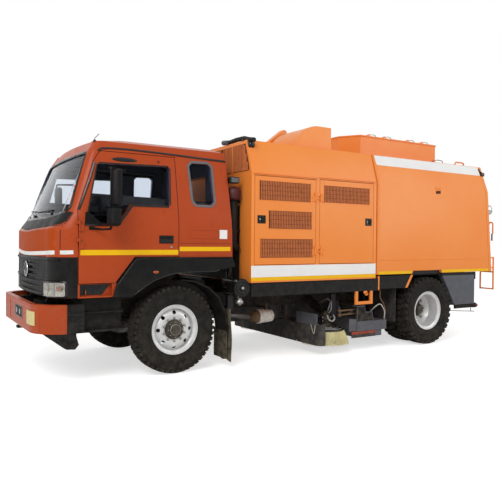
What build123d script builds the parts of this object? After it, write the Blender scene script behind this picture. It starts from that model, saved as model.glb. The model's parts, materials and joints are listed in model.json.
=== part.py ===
from build123d import *
import os

# Street sweeper truck. Row frame: +X forward, +Y to the left side, +Z up, in millimetres.
# The origin is on the ground, midway between the bumper and the ladder.

# ---------------------------------------------------------------- driving dimensions
front_overhang = 1600
wheelbase = 4240
rear_overhang = 1660
overall_length = front_overhang + wheelbase + rear_overhang
front_axle_x = overall_length / 2 - front_overhang
rear_axle_x = front_axle_x - wheelbase
drawn_wheelbase = 4240
body_half_width = 1200
pin_clearance = 0.1
panel_gap = 7
seat_gap = 0.3


def ahead(distance):
    """Station from the front axle, forward positive. Those behind it stretch with the wheelbase."""
    if distance < 0:
        return front_axle_x + distance * wheelbase / drawn_wheelbase
    return front_axle_x + distance



# Tyres and wheels
tyre_radius = 525
tyre_half_width = 139
bead_radius = 258
flange_radius = 300
rim_half_width = 105
rim_thickness = 8
front_wheel_y = 938
rear_wheel_y = 932
dual_spacing = 318
axle_z = tyre_radius

# Steering
kingpin_y = 775
kingpin_radius = 22
front_spindle_radius = 35
rear_spindle_radius = 50
steering_arm_length = 180

# Chassis
rail_outer_y = 425
rail_inner_y = 345
rail_z = (660, 880)
rail_wall = 8

# Cab
cab_wall = 60
cab_tilt_x = front_axle_x + 1450
cab_tilt_z = 700
cab_pin_radius = 20
cab_floor_z = 1150
cab_platform_z = 1400
cab_step_x = front_axle_x + 690

# Sweeper body
body_floor_z = 1062
body_shoulder_z = 2450
body_roof_z = 2880
body_roof_half_width = body_half_width - 126
body_wall = 40
canopy_x = (ahead(-3109), ahead(-961))
hopper_front_x = ahead(-3125)
hopper_low_z = 1112
hopper_floor_z = 1160
tip_x = ahead(-5450)
tip_z = 980
tip_pin_radius = 30
tailgate_wall = 60
beyond_side = body_half_width + 200

# Brushes
brush_x = ahead(-2460)
brush_y = 850
brush_z = (120, 345)
brush_radius = (345, 270)
brush_plate_z = (345, 372)
motor_radius = 70
motor_top = 540
slide_slope = 25.8
slide_half = 30
slide_clearance = 0.5
slide_root_z = 730
sleeve_half = 45
sleeve_length = 300
arm_length = 480
shield_x = ahead(-2083)
shield_y = (655, 1130)
shield_z = (430, 590)
skirt_z = (150, 445)
apron_half = 640

# ---------------------------------------------------------------- helpers
def block(x, y, z):
    """Box between a low and a high value on each axis."""
    size = (x[1] - x[0], y[1] - y[0], z[1] - z[0])
    return Pos(sum(x) / 2, sum(y) / 2, sum(z) / 2) * Box(*size)


def side_plate(outline, y):
    """Outline in X and Z, as thick as the span in Y."""
    face = make_face(Polyline(*[(px, y[0], pz) for px, pz in outline], close=True))
    return extrude(face, amount=y[1] - y[0], dir=(0, 1, 0))


def cross_plate(outline, x):
    """Outline in Y and Z, as long as the span in X."""
    face = make_face(Polyline(*[(x[0], py, pz) for py, pz in outline], close=True))
    return extrude(face, amount=x[1] - x[0], dir=(1, 0, 0))


def plan_plate(outline, z):
    """Outline in X and Y, as high as the span in Z."""
    face = make_face(Polyline(*[(px, py, z[0]) for px, py in outline], close=True))
    return extrude(face, amount=z[1] - z[0], dir=(0, 0, 1))


def round_y(radius, y, x, z):
    """Round bar across the truck."""
    return Pos(x, sum(y) / 2, z) * Rot(90, 0, 0) * Cylinder(radius, y[1] - y[0])


def round_z(radius, z, x, y):
    """Upright round bar."""
    return Pos(x, y, sum(z) / 2) * Cylinder(radius, z[1] - z[0])


def round_x(radius, x, y, z):
    """Round bar along the truck."""
    return Pos(sum(x) / 2, y, z) * Rot(0, 90, 0) * Cylinder(radius, x[1] - x[0])


def rod_between(start, end, radius):
    """Straight round bar between two points."""
    line = Line(start, end)
    profile = Plane(start, z_dir=Vector(*end) - Vector(*start)) * Circle(radius)
    return sweep(profile, path=line)


def flipped(shape):
    """The same piece on the other side of the truck."""
    return mirror(shape, about=Plane.XZ)


def pair(shape):
    return [shape, flipped(shape)]


def fuse(*shapes):
    result = shapes[0]
    for shape in shapes[1:]:
        result = result + shape
    return result


def save(shape, node):
    export_step(shape, "parts/" + node + ".step")


def save_sides(shape, node):
    """Left piece and its mirrored right piece, one node each."""
    save(shape, node + "_left")
    save(flipped(shape), node + "_right")


os.makedirs("parts", exist_ok=True)


# ---------------------------------------------------------------- chassis frame
ram_foot = (ahead(-5000), 560)
ram_head = (ahead(-4600), 1085)
ram_radius = 55
ram_eye_radius = 48
ram_rod_radius = 32
ram_pin_radius = 18


def channel_rail():
    """Left side rail: a channel open towards the middle."""
    x = (ahead(-5420), ahead(1480))
    web = block(x, (rail_inner_y, rail_outer_y), rail_z)
    inner_z = (rail_z[0] + rail_wall, rail_z[1] - rail_wall)
    return web - block(x, (rail_inner_y, rail_outer_y - rail_wall), inner_z)


cross_members = (1300, 780, -1150, -2350, -2860, -3450, -5150, -5380)
cross_member_half = 40
cross_member_z = (780, 850)
cross_reach = rail_outer_y - rail_wall

subframe_z = (rail_z[1], 1000)
outrigger_z = (1000, body_floor_z)
outrigger_half_x = 35
skirt_y = (body_half_width - 50, body_half_width - 15)
locker_y = (700, body_half_width - 10)
# Outriggers: station and how far out each one reaches.
outriggers = ((-1100, skirt_y[0]), (-1750, skirt_y[0]), (-2400, skirt_y[0]), (-3020, skirt_y[0]),
              (-3300, skirt_y[0]), (-3700, skirt_y[0]), (-4750, locker_y[0]), (-5250, locker_y[0]))


def chassis_frame():
    """Both side rails with the sweeper's subframe on them, their pins and brackets."""
    parts = pair(channel_rail())
    tilt_pin = round_y(cab_pin_radius, (rail_outer_y - 2, 475), cab_tilt_x, cab_tilt_z)
    parts += pair(tilt_pin)
    subframe = block((ahead(-5420), ahead(-1000)), (rail_inner_y, rail_outer_y), subframe_z)
    parts += pair(subframe)
    ear_x = (tip_x - 60, tip_x + 60)
    ear = block(ear_x, (rail_outer_y, rail_outer_y + 25), (900, tip_z + 50))
    parts += pair(ear)
    tip_pin = round_y(tip_pin_radius, (rail_outer_y, rail_outer_y + 85), tip_x, tip_z)
    parts += pair(tip_pin)
    bracket = block((ahead(1480), ahead(1540)), (rail_inner_y, rail_outer_y), (rail_z[0], 860))
    parts += pair(bracket)
    return fuse(*parts, *pair(slide_sleeve()))


def frame_members():
    """Cross members between the rails, the ram's bed and the towing eyes."""
    parts = []
    for station in cross_members:
        x = (ahead(station - cross_member_half), ahead(station + cross_member_half))
        parts.append(block(x, (-cross_reach, cross_reach), cross_member_z))
    foot_x, foot_z = ram_foot
    bed_z = foot_z - ram_eye_radius - 12
    bed_x = (foot_x - 40, foot_x + 40)
    bed = block(bed_x, (-cross_reach, cross_reach), (bed_z - 40, bed_z))
    hanger = block(bed_x, (cross_reach - 30, cross_reach), (bed_z - 40, rail_z[0]))
    cheek = block((foot_x - 35, foot_x + 35), (65, 83), (bed_z - 1, foot_z + 40))
    parts += [bed, *pair(hanger), *pair(cheek), round_y(ram_pin_radius, (-83, 83), foot_x, foot_z)]
    return fuse(fuse(*parts), tow_eyes())


def outrigger_beams():
    """Cross bearers on the subframe that carry the body's floor and skirts."""
    beams = []
    for station, reach in outriggers:
        x = (ahead(station - outrigger_half_x), ahead(station + outrigger_half_x))
        beams += pair(block(x, (rail_inner_y, reach), outrigger_z))
    return fuse(*beams)


tow_bore_radius = 20
front_tow = (ahead(1560), 0, 545)
rear_tow = (ahead(-5545), 0, 650)
tow_plate = 30


def tow_eyes():
    """Flat towing eyes at the front and back, each with an upright hole for a pin."""
    x, _, z = front_tow
    front = block((ahead(1260), x + 38), (-45, 45), (z - tow_plate / 2, z + tow_plate / 2))
    post = block((ahead(1260), ahead(1340)), (-45, 45), (z - tow_plate / 2, cross_member_z[1]))
    hole = round_z(tow_bore_radius, (z - 30, z + 30), x, 0)
    x, _, z = rear_tow
    rear = block((x - 40, ahead(-5345)), (-45, 45), (z - tow_plate / 2, z + tow_plate / 2))
    rear_post = block((ahead(-5415), ahead(-5345)), (-45, 45), (z - tow_plate / 2, cross_member_z[1]))
    rear_hole = round_z(tow_bore_radius, (z - 30, z + 30), x, 0)
    return fuse(front, post, rear, rear_post) - hole - rear_hole


# ---------------------------------------------------------------- axles
axle_beam_z = (430, 520)
axle_beam_half_x = 45
king_boss_z = (440, 560)
king_boss_radius = 45
spring_y = (350, 420)
spring_half = 640


def leaf_spring(axle_x, y, pad_z, end_z, half_length):
    """Bundle of leaves bowed down at the axle, with its two hangers."""
    leaf = 40
    outline = [(axle_x - half_length, end_z), (axle_x - half_length, end_z - 22),
               (axle_x - 130, pad_z), (axle_x + 130, pad_z),
               (axle_x + half_length, end_z - 22), (axle_x + half_length, end_z),
               (axle_x + 130, pad_z + leaf), (axle_x - 130, pad_z + leaf)]
    return side_plate(outline, y)


def front_axle():
    beam = block((front_axle_x - axle_beam_half_x, front_axle_x + axle_beam_half_x),
                 (-kingpin_y, kingpin_y), axle_beam_z)
    parts = [beam]
    for side in (1, -1):
        parts.append(round_z(king_boss_radius, king_boss_z, front_axle_x, side * kingpin_y))
    pad = block((front_axle_x - 90, front_axle_x + 90), spring_y, (axle_beam_z[1] - 1, 560))
    spring = leaf_spring(front_axle_x, spring_y, 560, rail_z[0] - 8, spring_half)
    parts += pair(pad)
    parts += pair(spring)
    for end in (-1, 1):
        x0 = front_axle_x + end * (spring_half - 25)
        hanger = block((x0 - 25, x0 + 25), spring_y, (rail_z[0] - 20, rail_z[0]))
        parts += pair(hanger)
    beam_and_springs = fuse(*parts)
    for side in (1, -1):
        bore = round_z(kingpin_radius + pin_clearance, (390, 610), front_axle_x, side * kingpin_y)
        beam_and_springs = beam_and_springs - bore
    return beam_and_springs


rear_spring_y = (rail_outer_y + 20, rail_outer_y + 90)
rear_spring_half = 720
rear_tube_radius = 70
diff_radius = 215
rear_drum_radius = 205


def rear_axle():
    tube = round_y(rear_tube_radius, (-700, 700), rear_axle_x, axle_z)
    spindle = round_y(rear_spindle_radius, (-1000, 1000), rear_axle_x, axle_z)
    banjo = round_x(diff_radius, (rear_axle_x - 110, rear_axle_x + 130), 0, axle_z)
    parts = [tube, spindle, banjo]
    drum = round_y(rear_drum_radius, (640, 690), rear_axle_x, axle_z)
    parts += pair(drum)
    pad = block((rear_axle_x - 110, rear_axle_x + 110), rear_spring_y, (axle_z + 40, axle_z + 95))
    spring = leaf_spring(rear_axle_x, rear_spring_y, axle_z + 94, 760, rear_spring_half)
    parts += pair(pad)
    parts += pair(spring)
    for end in (-1, 1):
        x0 = rear_axle_x + end * (rear_spring_half - 30)
        hanger = block((x0 - 30, x0 + 30), (rail_outer_y, rear_spring_y[1]), (730, 790))
        parts += pair(hanger)
    return fuse(*parts)


# ---------------------------------------------------------------- engines and drive line
def power_train():
    """The truck's own engine and gearbox as plain blocks, with the propeller shaft."""
    engine = block((ahead(-330), ahead(600)), (-300, 300), (600, 1290))
    gearbox = block((ahead(-1000), ahead(-330)), (-170, 170), (600, 940))
    start = (ahead(-1000), 0, 720)
    flange_x = rear_axle_x + 130
    shaft = rod_between(start, (flange_x + 25, 0, axle_z + 20), 45)
    flange = round_x(60, (flange_x, flange_x + 30), 0, axle_z + 20)
    return fuse(engine, gearbox, shaft, flange)


def auxiliary_engine():
    """Engine that drives the suction fan, as one plain block on the canopy floor."""
    floor_top = body_floor_z + body_wall
    return block((ahead(-2600), ahead(-1250)), (-420, 420), (floor_top, 2000))


# ---------------------------------------------------------------- front bumper and steps
bumper_z = (580, 890)
bumper_wall = 60
bumper_half = 1100
bumper_flat = 760
bumper_end_x = ahead(1279)
bumper_cap_x = ahead(1098)


def bumper_plan(inset, back=0):
    """Bumper outline with round ends seen from above, less an inset at the front and sides."""
    front = ahead(front_overhang) - inset
    reach = bumper_half - inset
    rear = bumper_cap_x - back
    left = [Line((bumper_end_x, reach), (rear, reach)),
            Line((rear, reach), (rear, -reach)),
            Line((rear, -reach), (bumper_end_x, -reach)),
            ThreePointArc((bumper_end_x, -reach), (front - 96, -(reach - 110)),
                          (front, -bumper_flat)),
            Line((front, -bumper_flat), (front, bumper_flat)),
            ThreePointArc((front, bumper_flat), (front - 96, reach - 110),
                          (bumper_end_x, reach))]
    return make_face(Curve() + left)


def front_bumper():
    outer = extrude(Pos(0, 0, bumper_z[0]) * bumper_plan(0), amount=bumper_z[1] - bumper_z[0])
    inner = extrude(Pos(0, 0, bumper_z[0] - 10) * bumper_plan(bumper_wall, 100),
                    amount=bumper_z[1] - bumper_z[0] + 20)
    bumper = outer - inner
    top = bumper_z[0] + 12
    profile = [(ahead(1520), top), (ahead(1510), bumper_z[0]), (ahead(1313), 430), (ahead(1284), 414),
               (ahead(1195), 408), (ahead(1155), 455), (ahead(1182), 550), (ahead(1182), top)]
    apron = side_plate(profile, (840, bumper_half)) & extrude(Pos(0, 0, 300) * bumper_plan(6), amount=500)
    return fuse(bumper, *pair(apron))


def cab_steps():
    """Two-tread step behind each end of the bumper, on its own bracket."""
    x = (ahead(650), bumper_cap_x - 1)
    back = block(x, (960, 985), (577, 940))
    low = block(x, (960, 1085), (577, 602))
    high = block(x, (960, 1060), (780, 800))
    stay = block((ahead(800), ahead(860)), (rail_outer_y, 961), (700, 760))
    step = fuse(back, low, high, stay)
    return fuse(step, flipped(step))


# ---------------------------------------------------------------- front mudguards
guard_wall = 14
guard_points = ((-60, 1128), (-250, 1098), (-420, 1020), (-560, 900), (-650, 720), (-690, 460))


def front_mudguards():
    """Rear half of each front wheel's guard, with its hanging rubber flap."""
    outline = [(ahead(px), pz) for px, pz in guard_points]
    inner = [(px + guard_wall, pz - guard_wall) for px, pz in outline]
    guard = side_plate(outline + inner[::-1], (800, 1110))
    flap = block((ahead(-686), ahead(-674)), (760, 1090), (110, 480))
    stay = block((ahead(-700), ahead(-640)), (rail_outer_y, 802), (690, 740))
    piece = fuse(guard, flap, stay)
    return fuse(piece, flipped(piece))


# ---------------------------------------------------------------- tank, air cleaner, exhaust
def fuel_tank():
    tank = block((ahead(-1750), ahead(-1050)), (-1000, -560), (520, 860))
    tank = fillet(tank.edges().filter_by(Axis.X), 70)
    strap = block((ahead(-1640), ahead(-1600)), (-562, -rail_outer_y), (700, 860))
    strap_front = block((ahead(-1200), ahead(-1160)), (-562, -rail_outer_y), (700, 860))
    return fuse(tank, strap, strap_front)


def air_cleaner():
    """Round canister lying along the truck's width behind the cab, on a bracket."""
    can = round_y(115, (820, 1185), ahead(-840), 1000)
    foot = block((ahead(-880), ahead(-800)), (rail_outer_y, 900), (700, 740))
    post = block((ahead(-880), ahead(-800)), (840, 900), (700, 950))
    neck = round_z(45, (1000, 1330), ahead(-845), 870)
    return fuse(can, foot, post, neck)


exhaust_y = 640
exhaust_z = 535


def exhaust_pipe():
    pipe = round_x(45, (ahead(-1690), ahead(-600)), exhaust_y, exhaust_z)
    wrapped = round_x(85, (ahead(-1665), ahead(-1300)), exhaust_y, exhaust_z)
    stay = block((ahead(-1000), ahead(-960)), (rail_outer_y, exhaust_y), (exhaust_z + 20, 700))
    return fuse(pipe, wrapped, stay)


# ---------------------------------------------------------------- canopy over the engine
def body_section(inset, low):
    """Section across the sweeper body: upright sides and a sloped shoulder."""
    side = body_half_width - inset
    roof = body_roof_half_width - inset
    shoulder = body_shoulder_z - inset * 0.3
    top = body_roof_z - inset
    return [(-side, low), (-side, shoulder), (-roof, top), (roof, top), (side, shoulder), (side, low)]


# Canopy doors: low and high station, low and high height, and the side its hinge is on.
canopy_doors = {
    "front": dict(x=(-1987, -1013), z=(1290, 2420), hinge=-1987),
    "rear": dict(x=(-3051, -2060), z=(1290, 2430), hinge=-2060),
}
# Grilles: door, low and high station, low and high height.
grilles = (
    ("front", (-1903, -1076), (2113, 2364)),
    ("front", (-1924, -1220), (1750, 1987)),
    ("front", (-1941, -1095), (1374, 1624)),
    ("rear", (-2976, -2127), (2124, 2360)),
)
slot_pitch = 60
slot_width = 34
hinge_pin_y = body_half_width + 14
hinge_inset = 12
hinge_radius = 12
hinge_heights = (1450, 2170)
hinge_half = 38
louvre_pitch = 150
louvre_width = 70
louvre_margin = 150
louvre_z = (body_shoulder_z + 40, body_roof_z - 50)


def hinge_axis(name):
    """Station of a canopy door's hinge pin, just inside the door's edge."""
    inset = hinge_inset if name == "front" else -hinge_inset
    return ahead(canopy_doors[name]["hinge"]) + inset


def post_hinges():
    """Fixed halves of the door hinges, on the post between the doors."""
    parts = []
    for name in canopy_doors:
        x0 = hinge_axis(name)
        post_x = ahead(-2023)
        for height in hinge_heights:
            z = (height + hinge_half + seat_gap, height + 2 * hinge_half)
            barrel = round_z(hinge_radius, z, x0, hinge_pin_y)
            tab = block(sorted((x0, post_x)), (body_half_width + 3, body_half_width + 10), z)
            root_x = sorted((post_x, post_x + (15 if x0 > post_x else -15)))
            root = block(root_x, (body_half_width - 5, body_half_width + 4), z)
            parts += [barrel, tab, root]
    half = fuse(*parts)
    return fuse(half, flipped(half))


def canopy_shell():
    shell = cross_plate(body_section(0, body_floor_z), canopy_x)
    hollow_x = (canopy_x[0] + body_wall, canopy_x[1] - body_wall)
    shell = shell - cross_plate(body_section(body_wall, body_floor_z + body_wall), hollow_x)
    for door in canopy_doors.values():
        x = (ahead(door["x"][0] - panel_gap), ahead(door["x"][1] + panel_gap))
        z = (door["z"][0] - panel_gap, door["z"][1] + panel_gap)
        for opening in pair(block(x, (body_half_width - 100, body_half_width + 100), z)):
            shell = shell - opening
    columns = int((body_roof_half_width - louvre_margin) / louvre_pitch)
    for column in range(-columns, columns + 1):
        y = column * louvre_pitch
        slot = block((canopy_x[1] - body_wall - 5, canopy_x[1] + 5),
                     (y - louvre_width / 2, y + louvre_width / 2), louvre_z)
        shell = shell - slot
    return fuse(shell, post_hinges())


# Roof housings: a wide scoop with a round front, and a narrow spout beside it.
scoop_y = (320, body_half_width - 200)
scoop_x = (ahead(-2416), ahead(-2166), ahead(-1785))
scoop_rise = 322
spout_y = (180, 300)
# Spout: station and height above the roof.
spout_outline = ((-1601, 0), (-2085, 374), (-2125, 374), (-2165, 310), (-2400, 240), (-2400, 0))


def roof_pods():
    """Scoop and spout over the suction fan, on the canopy roof."""
    back, crest, front = scoop_x
    low, high = body_roof_z, body_roof_z + scoop_rise
    y = scoop_y[0]
    middle = (crest + (front - crest) * 0.65, y, low + scoop_rise * 0.68)
    edges = [Line((back, y, low), (back, y, high)), Line((back, y, high), (crest, y, high)),
             ThreePointArc((crest, y, high), middle, (front, y, low)),
             Line((front, y, low), (back, y, low))]
    scoop = extrude(make_face(Curve() + edges), amount=scoop_y[1] - scoop_y[0], dir=(0, 1, 0))
    spout = side_plate([(ahead(px), body_roof_z + rise) for px, rise in spout_outline], spout_y)
    return scoop + spout


def canopy_door(name):
    door = canopy_doors[name]
    x = (ahead(door["x"][0]), ahead(door["x"][1]))
    z = door["z"]
    panel = block(x, (body_half_width - body_wall, body_half_width), z)
    for owner, grille_x, grille_z in grilles:
        if owner != name:
            continue
        count = int((grille_x[1] - grille_x[0]) / slot_pitch)
        for index in range(count):
            x0 = ahead(grille_x[0] + (index + 0.5) * slot_pitch)
            slot = block((x0 - slot_width / 2, x0 + slot_width / 2),
                         (body_half_width - body_wall - 5, body_half_width + 5), grille_z)
            panel = panel - slot
    x0 = hinge_axis(name)
    side = 1 if name == "front" else -1
    for height in hinge_heights:
        z = (height - hinge_half, height + hinge_half)
        barrel = round_z(hinge_radius, z, x0, hinge_pin_y)
        leaf = block(sorted((x0 - side * 6, x0 + side * 45)), (body_half_width, body_half_width + 8), z)
        panel = panel + barrel + leaf
    return panel


# ---------------------------------------------------------------- hopper
hopper_tail = ((ahead(-5756), hopper_low_z), (ahead(-5590), body_roof_z))
hopper_wall = 40
arch_outline = ((-3733, 900), (-3904, 1160), (-4528, 1160), (-4660, 900))


def tail_x(z, offset=0):
    """Station of the leaning rear face at a height."""
    (x0, z0), (x1, z1) = hopper_tail
    return x0 + (x1 - x0) * (z - z0) / (z1 - z0) - offset


def tail_cut(offset):
    """Everything behind the leaning rear face."""
    low, high = 600, 3600
    return side_plate([(tail_x(low, offset), low), (tail_x(high, offset), high),
                       (tail_x(low, offset) - 900, high), (tail_x(low, offset) - 900, low)],
                      (-beyond_side, beyond_side))


hinge_rise = 30
gate_pin_radius = 16


def gate_hinge():
    """Place of the tailgate's hinge axis, above the rear edge of the roof."""
    return tail_x(body_roof_z), body_roof_z + hinge_rise


def hopper_shell():
    x = (ahead(-5900), hopper_front_x)
    shell = cross_plate(body_section(0, hopper_low_z), x) - tail_cut(0)
    inside = cross_plate(body_section(hopper_wall, hopper_floor_z + hopper_wall),
                         (x[0], hopper_front_x - hopper_wall))
    below = block((x[0], hopper_front_x - hopper_wall),
                  (-body_half_width + hopper_wall, body_half_width - hopper_wall),
                  (hopper_low_z - 10, hopper_floor_z))
    shell = shell - inside - below
    arch = side_plate([(ahead(px), pz) for px, pz in arch_outline],
                      (-beyond_side, beyond_side))
    shell = shell - arch
    for side in (1, -1):
        y = sorted((side * (rail_outer_y + 32), side * (rail_outer_y + 72)))
        lug = block((tip_x - 50, tip_x + 50), y, (tip_z - 50, hopper_floor_z + 1))
        hole = round_y(tip_pin_radius + pin_clearance, (y[0] - 5, y[1] + 5), tip_x, tip_z)
        shell = shell + (lug - hole)
    hx, hz = gate_hinge()
    for y0 in (-700, 0, 700):
        ear = block((hx, hx + 60), (y0 - 15, y0 + 15), (body_roof_z - 5, hz + 24))
        ear = ear + round_y(24, (y0 - 15, y0 + 15), hx, hz)
        ear = ear - round_y(gate_pin_radius + pin_clearance, (y0 - 20, y0 + 20), hx, hz)
        shell = shell + ear
    head_x, head_z = ram_head
    cheek = block((head_x - 60, head_x + 60), (52, 70), (head_z - 45, hopper_floor_z + 1))
    shell = shell - roof_box(hopper_wall, body_roof_z - 60)
    return fuse(shell + roof_box_shell(), *pair(cheek))


roof_box_z = 3270


def roof_box(inset, low):
    """Outlet box on the hopper roof, narrowed at its front."""
    plan = [(-5071 + inset, -600 + inset), (-3343, -600 + inset), (-3150 - inset, -300),
            (-3150 - inset, 300), (-3343, 600 - inset), (-5071 + inset, 600 - inset)]
    return plan_plate([(ahead(px), py) for px, py in plan], (low, roof_box_z - inset))


def roof_box_shell():
    return roof_box(0, body_roof_z - 1) - roof_box(hopper_wall, body_roof_z - 60)


def tailgate():
    """Rear door as wide as the hopper, hung from its top edge."""
    low = hopper_low_z
    outline = body_section(0, low)
    slab = cross_plate(outline, (ahead(-5900), ahead(-5300)))
    slab = slab - tail_cut(tailgate_wall + panel_gap)
    front_keep = side_plate([(tail_x(600, panel_gap), 600), (tail_x(3600, panel_gap), 3600),
                             (ahead(-4800), 3600), (ahead(-4800), 600)],
                            (-beyond_side, beyond_side))
    slab = slab - front_keep
    hx, hz = gate_hinge()
    pin = round_y(gate_pin_radius, (-760, 760), hx, hz)
    arms = []
    for y0 in (-735, -35, 35, 735):
        y = (y0 - 12, y0 + 12)
        low_x = tail_x(body_roof_z - 60, panel_gap)
        arm = side_plate([(hx + 14, hz + 18), (hx + 14, hz - 16), (hx - panel_gap, body_roof_z + 6),
                          (low_x, body_roof_z - 60), (low_x - 55, body_roof_z - 60),
                          (low_x - 45, hz + 18)], y)
        arms.append(arm)
    return fuse(slab, pin, *arms)


ladder_y = (body_half_width - 260, body_half_width - 10)
ladder_rail = 14
ladder_x = ahead(-5885)
ladder_z = (790, 1352)
ladder_rungs = (804, 1094, 1338)


def rear_ladder():
    """Short ladder on the left of the tailgate, standing off on stays and hanging below it."""
    parts = [round_z(ladder_rail, ladder_z, ladder_x, y) for y in ladder_y]
    for height in ladder_rungs:
        parts.append(round_y(ladder_rail - 2, ladder_y, ladder_x, height))
    for height in (1170, ladder_rungs[-1]):
        start = tail_x(height, panel_gap + tailgate_wall + 1.3)
        for y in ladder_y:
            parts.append(round_x(ladder_rail - 2, (ladder_x, start), y, height))
    return fuse(*parts)


# ---------------------------------------------------------------- tipping ram

ram_barrel_length = 570


def ram_length():
    """Closed length of the ram, from eye to eye."""
    return ((ram_head[0] - ram_foot[0]) ** 2 + (ram_head[1] - ram_foot[1]) ** 2) ** 0.5


def ram_place(reach):
    """Point on the ram's axis, a distance from its foot."""
    share = reach / ram_length()
    return (ram_foot[0] + (ram_head[0] - ram_foot[0]) * share, 0,
            ram_foot[1] + (ram_head[1] - ram_foot[1]) * share)


def ram_barrel():
    barrel = rod_between(ram_place(0), ram_place(ram_barrel_length), ram_radius)
    eye = round_y(ram_eye_radius, (-60, 60), *ram_foot)
    bore = rod_between(ram_place(70), ram_place(ram_barrel_length + 50), ram_rod_radius + pin_clearance)
    pin_hole = round_y(ram_pin_radius + pin_clearance, (-100, 100), *ram_foot)
    return barrel + eye - bore - pin_hole


def ram_rod():
    rod = rod_between(ram_place(75), ram_place(ram_length() - 20), ram_rod_radius)
    eye = round_y(40, (-45, 45), *ram_head)
    return rod + eye


# ---------------------------------------------------------------- black skirts and arches
arch_wall = 14
arch_liner = ((-3760, 880), (-3910, 1098), (-4546, 1098), (-4852, 610))


def body_skirts():
    """Black valances under the canopy and hopper, with the wheel arch liners."""
    front = block((ahead(-3175), ahead(-980)), skirt_y, (884, body_floor_z))
    middle = side_plate([(ahead(-3200), 1093), (ahead(-3200), 900), (ahead(-3740), 900),
                         (ahead(-3860), 1093)], skirt_y)
    outline = [(ahead(px), pz) for px, pz in arch_liner]
    inside = [(px - shift * arch_wall, pz - arch_wall) for (px, pz), shift in zip(outline, (1, 1, -1, -1))]
    liner = side_plate(outline + inside[::-1], (600, skirt_y[0] - 1))
    stay = block((ahead(-4700), ahead(-4640)), (rail_outer_y, 601), (840, 870))
    front_stay = block((ahead(-3880), ahead(-3830)), (rail_outer_y, 601), (920, 950))
    piece = fuse(front, middle, liner, stay, front_stay)
    return fuse(piece, flipped(piece))


def side_lockers():
    """Grey tool locker behind each rear wheel."""
    outline = [(ahead(-4562), 1095), (ahead(-4866), 610), (ahead(-4880), 579),
               (ahead(-5387), 579), (ahead(-5387), 1095)]
    locker = side_plate(outline, locker_y)
    stay = block((ahead(-5300), ahead(-4950)), (rail_outer_y, 701), (800, 860))
    piece = fuse(locker, stay)
    return fuse(piece, flipped(piece))


def rear_underrun():
    """Bar across the back below the body, with a lamp at each end."""
    half = body_half_width - 70
    bar = block((ahead(-5490), ahead(-5430)), (-half, half), (500, 575))
    lamp = block((ahead(-5530), ahead(-5490)), (half - 180, half), (500, 570))
    stay = block((ahead(-5470), ahead(-5400)), (rail_inner_y, rail_outer_y), (560, rail_z[0]))
    return fuse(bar, *pair(lamp), *pair(stay))


# ---------------------------------------------------------------- suction nozzle
trunk_radius = 125
trunk_y = 195


def suction_nozzle():
    """Pick-up nozzle across the truck behind the brushes, with its trunk."""
    half = body_half_width - 80
    box = block((ahead(-3420), ahead(-2830)), (-half, half), (290, 430))
    lip = block((ahead(-3340), ahead(-2850)), (20 - half, half - 20), (200, 290))
    trunk = round_z(trunk_radius, (430, 1040), ahead(-3120), trunk_y)
    hanger_y = (rail_outer_y + seat_gap, rail_outer_y + 30)
    hanger = block((ahead(-2990), ahead(-2910)), hanger_y, (400, rail_z[0] + 120))
    return fuse(box, lip, trunk, *pair(hanger))


def orange_hangers():
    """U-shaped hanger and painted uprights under each side of the body."""
    outline = [(ahead(-3075), 884), (ahead(-3075), 690), (ahead(-2741), 690),
               (ahead(-2741), 884), (ahead(-2790), 884), (ahead(-2790), 735),
               (ahead(-3025), 735), (ahead(-3025), 884)]
    hanger = side_plate(outline, (skirt_y[0] + 2, skirt_y[1] - 3))
    upright_y = (skirt_y[0], skirt_y[1] + 5)
    upright = block((ahead(-3200) + seat_gap, ahead(-3175) - seat_gap), upright_y, (884, 1093))
    slanted = side_plate([(ahead(-3740) - seat_gap, 900), (ahead(-3790), 900), (ahead(-3910), 1093),
                          (ahead(-3860) - seat_gap, 1093)], upright_y)
    return fuse(*pair(hanger), *pair(upright), *pair(slanted))


# ---------------------------------------------------------------- brushes
def brush():
    """Cup brush: a flared ring of bristles under a round plate."""
    bristles = Pos(brush_x, brush_y, sum(brush_z) / 2)
    height = brush_z[1] - brush_z[0]
    cone = bristles * Cone(brush_radius[0], brush_radius[1], height)
    core = bristles * Cone(brush_radius[0] - 110, brush_radius[1] - 130, height)
    plate = round_z(brush_radius[1], brush_plate_z, brush_x, brush_y)
    return cone - core + plate


def slide_bar(reach, half):
    """Square bar along the brush's slide, between two distances from the rail."""
    bar = Pos(0, sum(reach) / 2, 0) * Box(2 * half, reach[1] - reach[0], 2 * half)
    return Pos(brush_x, rail_outer_y, slide_root_z) * Rot(-slide_slope, 0, 0) * bar


def slide_sleeve():
    """Square sleeve on the rail that carries a brush arm."""
    sleeve = slide_bar((-4, sleeve_length), sleeve_half)
    sleeve = sleeve - slide_bar((5, sleeve_length + 5), slide_half + slide_clearance)
    keep = block((brush_x - 100, brush_x + 100), (rail_outer_y, 1200), (300, 1000))
    return sleeve & keep


def brush_arm():
    """Sliding arm with the brush's motor and the steel plate ahead of the brush."""
    bar = slide_bar((30, arm_length), slide_half)
    motor = round_z(motor_radius, (brush_plate_z[1], motor_top), brush_x, brush_y)
    neck = block((brush_x - 40, brush_x + 40), (brush_y - 60, brush_y + 50), (motor_top - 70, motor_top + 10))
    plate = plan_plate([(shield_x, shield_y[0]), (shield_x, shield_y[1]), (shield_x - 8, shield_y[1]),
                        (shield_x - 8, shield_y[0])], shield_z)
    stay = block((brush_x, shield_x - 4), (brush_y - 25, brush_y + 25), (motor_top - 30, motor_top - 12))
    return fuse(bar, motor, neck, plate, stay)


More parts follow.
